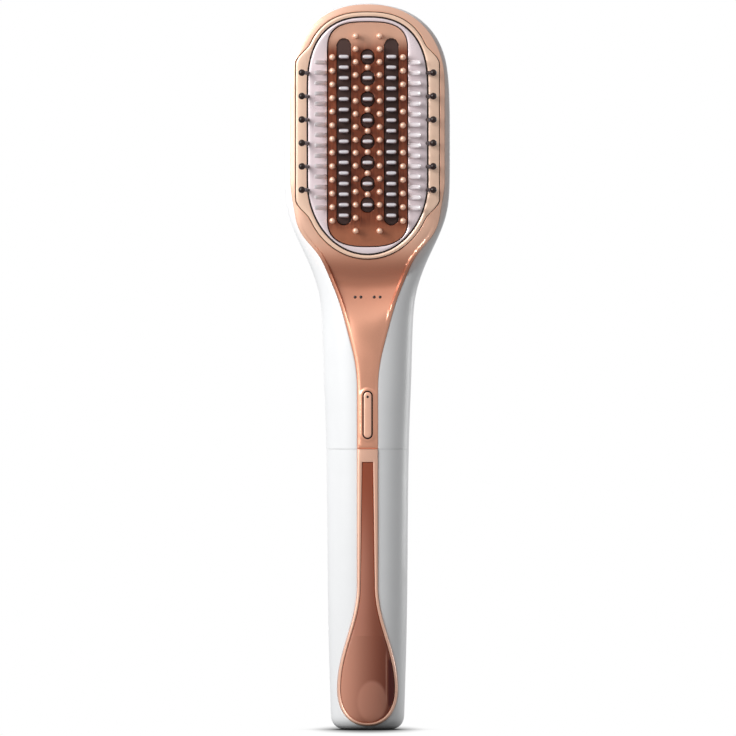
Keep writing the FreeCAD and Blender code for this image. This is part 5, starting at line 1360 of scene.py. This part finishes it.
def side_tooth(side, sides=16):
    """The grid of one tooth's points: the section lies across the path at 45 degrees, its length
    along Z grows with the root of its width, and both ends are closed to their middle."""
    path_x, path_y, half = np.array(SIDE_TOOTH).T[:, :, None]
    turn = np.linspace(0, 2 * np.pi, sides, endpoint=False)
    x = side * (path_x + SIDE_OUT + half * np.cos(turn) * math.cos(SIDE_LEAN))
    y = path_y + half * np.cos(turn) * math.sin(SIDE_LEAN) * SIDE_FLAT
    z = rounded(np.sin(turn), SIDE_POWER) * (half / SIDE_HALF) ** 0.5
    local = np.stack([x, y, z], -1)
    root, tip = (np.repeat(end.mean(1, keepdims=True), sides, 1) for end in (local[:1], local[-1:]))
    return np.concatenate([root, local, tip])


for side, name in ((1, "right"), (-1, "left")):
    feet = [(0, 0, SIDE_LOW + SIDE_PITCH * k) for k in range(SIDE_TEETH)]
    piece(f"side_teeth_{name}", *copies(side_tooth(side), feet), tooth_plastic, "handpiece",
          [f"side_comb_{name}"], "pearl_teeth")

# %% [markdown]
# The power button is a long rounded key with a small lamp near its top. A bevelled box would do,
# but the key has to keep an even gap in its hole, so it is a band of the same kind of outline
# that closes to a flat face. The lamps are small domed discs.

# %% Button and lamps
KEY_LOW, KEY_HIGH, KEY_HALF, KEY_FACE, KEY_BACK = 117.0, 135.3, 1.55, -16.3, -12.5
KEY_FLANGE, KEY_FLANGE_THICK = -0.95, 0.9  # the flange that stops it behind the panel
KEY_ROUNDING = ((0, 0.4), (0.05, 0.2), (0.18, 0.06), (0.45, 0), (0.9, -0.04))  # inset, fall
LAMP_RADIUS, LAMP_ROOT = 0.58, -0.8


def key():
    """Loops from the flange's back to the rounded face, and a disc that closes the face."""
    behind = KEY_BACK - KEY_FLANGE_THICK
    steps = [(KEY_FLANGE, KEY_BACK), (KEY_FLANGE, behind), (0, behind)]
    steps += [(inset, KEY_FACE + fall) for inset, fall in KEY_ROUNDING]
    loops = [loop3(capsule(KEY_HALF - inset, KEY_LOW + inset, KEY_HIGH - inset), y)
             for inset, y in steps]
    points, faces = band(loops)
    count = len(loops[0])
    return points, [faces, flat_disc(np.arange(len(points) - count, len(points)))]


def dome(places, height, radius=LAMP_RADIUS, sides=24):
    """Small domed discs facing -Y: a quarter of an ellipse, turned."""
    turn = np.radians(np.linspace(0, 90, 7))[:-1]
    arc = [(height * math.sin(t), radius * math.cos(t)) for t in turn]
    return turned(places, 0, [(LAMP_ROOT, radius), *arc, (height, 0.02)], sides)


piece("button_key", *key(), rose_key, "button", ["power_button"], "rose_button")
lamp_glass = moulded("lamp_lens", rgb(58, 40, 36), 0.25, coat=0.5, mottle=0.02)
piece("button_lamp", *dome([(0, KEY_FACE, 133.4)], 0.12), lamp_glass, "button",
      ["button_lens"], "light_pipe")
lamp_y = panel_y(np.array(LAMP_X), np.full(len(LAMP_X), LAMP_Z))
lamp_places = [(x, y + 0.1, LAMP_Z) for x, y in zip(LAMP_X, lamp_y)]
piece("panel_lamps", *dome(lamp_places, 0.1), lamp_glass, "handpiece", ["lamp_pipes"],
      "light_pipe")
print("button face at", KEY_FACE, "mm, lamps at", lamp_y.round(2))

# %% [markdown]
# The parts inside are seen only when the brush is opened or lifted off its tank. They keep the
# shapes they came with and get their own finishes, one for each kind of material.

# %% Parts inside
insert = moulded("white_insert", rgb(224, 225, 228), 0.4)
steel = moulded("steel", rgb(172, 172, 176), 0.3, metal=1.0)
silicone = moulded("silicone", rgb(196, 198, 200), 0.55)
bead = moulded("sensor_bead", rgb(60, 58, 56), 0.4)
hose = moulded("clear_hose", rgb(206, 214, 218), 0.2)
black = moulded("black_plastic", rgb(38, 38, 40), 0.45)
board = moulded("green_board", rgb(28, 92, 58), 0.4, coat=0.4)
INSIDE = (
    (insert, "tank_collar", "tank_spigot", "chassis"),
    (steel, "block_cover", "block_screws", "pump_motor", "charge_socket"),
    (silicone, "block_gasket", "spigot_seal"),
    (bead, "thermal_fuse", "thermistor"),
    (hose, "suction_hose", "feed_hose"),
    (black, "pump", "tact_switch"),
    (board, "main_board", "charge_board", "lamp_board"),
    (bristle_black, "dip_filter"),
    (moulded("cast_aluminium", rgb(178, 180, 184), 0.45, metal=1.0), "steam_block"),
    (moulded("heater_ceramic", rgb(226, 220, 206), 0.6), "heating_element"),
    (moulded("felt", rgb(206, 200, 188), 0.95, grain=6.0, depth=0.05), "insulation_pad"),
    (moulded("smoked_tube", rgb(70, 24, 14), 0.15, coat=0.8), "dip_tube"),
    (moulded("cell_wrap", rgb(56, 108, 162), 0.35, coat=0.3), "power_cell"),
    (moulded("lead_sleeve", rgb(196, 60, 48), 0.5), "heater_lead"),
)
for material, *names in INSIDE:
    for name in names:
        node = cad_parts[name]
        node.data.materials.clear()
        node.data.materials.append(material)
print("parts inside:", sum(len(names) for _, *names in INSIDE))

# %% [markdown]
# The camera looks level along +Y from far away with a long lens, so that upright lines stay
# upright. The floor is one large white sheet under the foot.

# %% Camera and floor
PICTURE_HEIGHT, DISTANCE = 0.2944, 5.0  # metres: shown at the head's face, and to the brush
CAMERA_X, CAMERA_Z, SENSOR, FAR_CLIP = 0.00016, 0.14492, 36, 100
FLOOR_HALF = 4
camera_data = bpy.data.cameras.new("camera")
camera = bpy.data.objects.new("camera", camera_data)
bpy.context.collection.objects.link(camera)
camera.location = (CAMERA_X, -DISTANCE, CAMERA_Z)
camera.rotation_euler = (math.radians(90), 0, 0)
camera_data.sensor_width = SENSOR
camera_data.lens = SENSOR * (DISTANCE + HEAD_FACE * MM) / PICTURE_HEIGHT
camera_data.clip_end = FAR_CLIP
bpy.context.scene.camera = camera

floor_mesh = bpy.data.meshes.new("floor")
corners = [(x * FLOOR_HALF, y * FLOOR_HALF, 0) for x, y in ((-1, -1), (1, -1), (1, 1), (-1, 1))]
floor_mesh.from_pydata(corners, [], [(0, 1, 2, 3)])
floor = bpy.data.objects.new("floor", floor_mesh)
bpy.context.collection.objects.link(floor)
print("camera lens, mm:", round(camera_data.lens, 1))

# %% [markdown]
# The floor has to be as white as the space behind it, or its far edge would draw a line behind the
# handle. A lit floor can't be that even, so this one glows: white to the camera, half as bright
# in reflections, and dim as light that falls on the brush from below. The soft shadow under the
# base comes from Ambient Occlusion, which tells how much of a point's surroundings is blocked,
# times a painted shadow: an ellipse round the foot, longer in depth than across.

# %% Floor
SHADOW_REACH, SHADOW_GREY, FLOOR_BOUNCE, FLOOR_GLOSS = 22 * MM, 0.25, 0.3, 0.55
PAINTED_SHADOW_SHAPE = (1 / 25, 1 / 70, 0)  # one over the shadow's half width and half depth in mm
OPEN_FADE, PAINTED_SHADOW_FADE = (0.05, 0.97), (0.25, 1.0)


def seen_by(graph, *rays):
    """1 for the named kinds of ray and 0 for the rest: the largest of Light Path's outputs."""
    first, *others = (graph.node("ShaderNodeLightPath", ray, []) for ray in rays)
    for other in others:
        first = first.math("MAXIMUM", other)
    return first


class Bare(Graph):
    """A node tree with only its output: for the floor's glow and the world."""

    def __init__(self, owner):
        owner.use_nodes = True
        self.tree = owner.node_tree
        self.tree.nodes.clear()

    def end(self, kind, shader):
        """Links a shader to a new output node of this kind."""
        out = self.tree.nodes.new(kind)
        self.tree.links.new(shader.output, out.inputs["Surface"])


floor_look = bpy.data.materials.new("floor_white")
glow = Bare(floor_look)
open_sky = glow.node("ShaderNodeAmbientOcclusion", "AO", {"Distance": SHADOW_REACH}, samples=16)
# An ellipse round the foot, painted on the floor as shadow.
painted_shadow = glow.node("ShaderNodeVectorMath", 0, [glow.millimetres(), PAINTED_SHADOW_SHAPE], operation="MULTIPLY")
painted_shadow = glow.node("ShaderNodeVectorMath", "Value", [painted_shadow], operation="LENGTH")
white_floor = open_sky.ramp(*OPEN_FADE) * painted_shadow.ramp(*PAINTED_SHADOW_FADE, SHADOW_GREY, 1.0)
strength = (FLOOR_BOUNCE + seen_by(glow, "Is Glossy Ray") * (FLOOR_GLOSS - FLOOR_BOUNCE)
            + seen_by(glow, "Is Camera Ray", "Is Transmission Ray") * (1 - FLOOR_BOUNCE))
glow.end("ShaderNodeOutputMaterial", glow.node(
    "ShaderNodeEmission", 0, {"Color": (1, 1, 1, 1), "Strength": strength * white_floor}))
floor_mesh.materials.append(floor_look)
print("floor material nodes:", len(glow.tree.nodes))

# %% [markdown]
# The room is a white studio. One soft key lamp from the upper left gives the light its direction,
# and a weaker one behind on the right lifts that edge. Matt surfaces get the most light from
# behind and above. Reflections see a bright room that is grey round the camera, with a window at
# the upper left. The camera itself sees plain white everywhere.

# %% World and lamps
world = bpy.data.worlds.new("studio")
bpy.context.scene.world = world
room = Bare(world)
look = room.node("ShaderNodeTexCoord", "Generated", [])
# direction, cosines between which the light changes, strengths at those two
ROOM_LIGHT = (-0.18, 0.92, 0.32), (-0.7, 0.8, 0.11, 0.70)
CAMERA_SIDE = (0.0, -1.0, 0.0), (0.99, 0.76, 0.40, 1.0)
WINDOW_SIDE = (-0.66, -0.66, 0.36), (0.80, 0.95, 0.0, 1.4)


def toward(direction, change):
    """Light that depends on the dot product of the look and a direction."""
    cosine = room.node("ShaderNodeVectorMath", "Value", [look, direction], operation="DOT_PRODUCT")
    return cosine.ramp(*change)


diffuse_room = toward(*ROOM_LIGHT)
glossy_room = toward(*CAMERA_SIDE) + toward(*WINDOW_SIDE)
is_glossy = seen_by(room, "Is Glossy Ray")
strength = diffuse_room + (glossy_room - diffuse_room) * is_glossy
is_seen = seen_by(room, "Is Camera Ray", "Is Transmission Ray")
strength = strength + (1 - strength) * is_seen
room.end("ShaderNodeOutputWorld", room.node(
    "ShaderNodeBackground", 0, {"Color": (1, 1, 1, 1), "Strength": strength}))
LAMP_AIM = Vector((0, 0, 0.15))


def lamp(name, azimuth, elevation, away, size, power):
    """A square soft lamp that looks at the middle of the brush; azimuth 0 is the camera's side."""
    data = bpy.data.lights.new(name, "AREA")
    data.size = size
    data.energy = power
    light = bpy.data.objects.new(name, data)
    turn, lift = math.radians(azimuth), math.radians(elevation)
    way = Vector((math.sin(turn) * math.cos(lift), -math.cos(turn) * math.cos(lift), math.sin(lift)))
    light.location = LAMP_AIM + way * away
    light.rotation_euler = way.to_track_quat("Z", "Y").to_euler()
    bpy.context.collection.objects.link(light)


lamp("key", azimuth=-46, elevation=22, away=0.85, size=0.5, power=6.5)
lamp("rim", azimuth=125, elevation=8, away=1.0, size=0.5, power=2.1)
bpy.context.scene.view_settings.view_transform = "Standard"
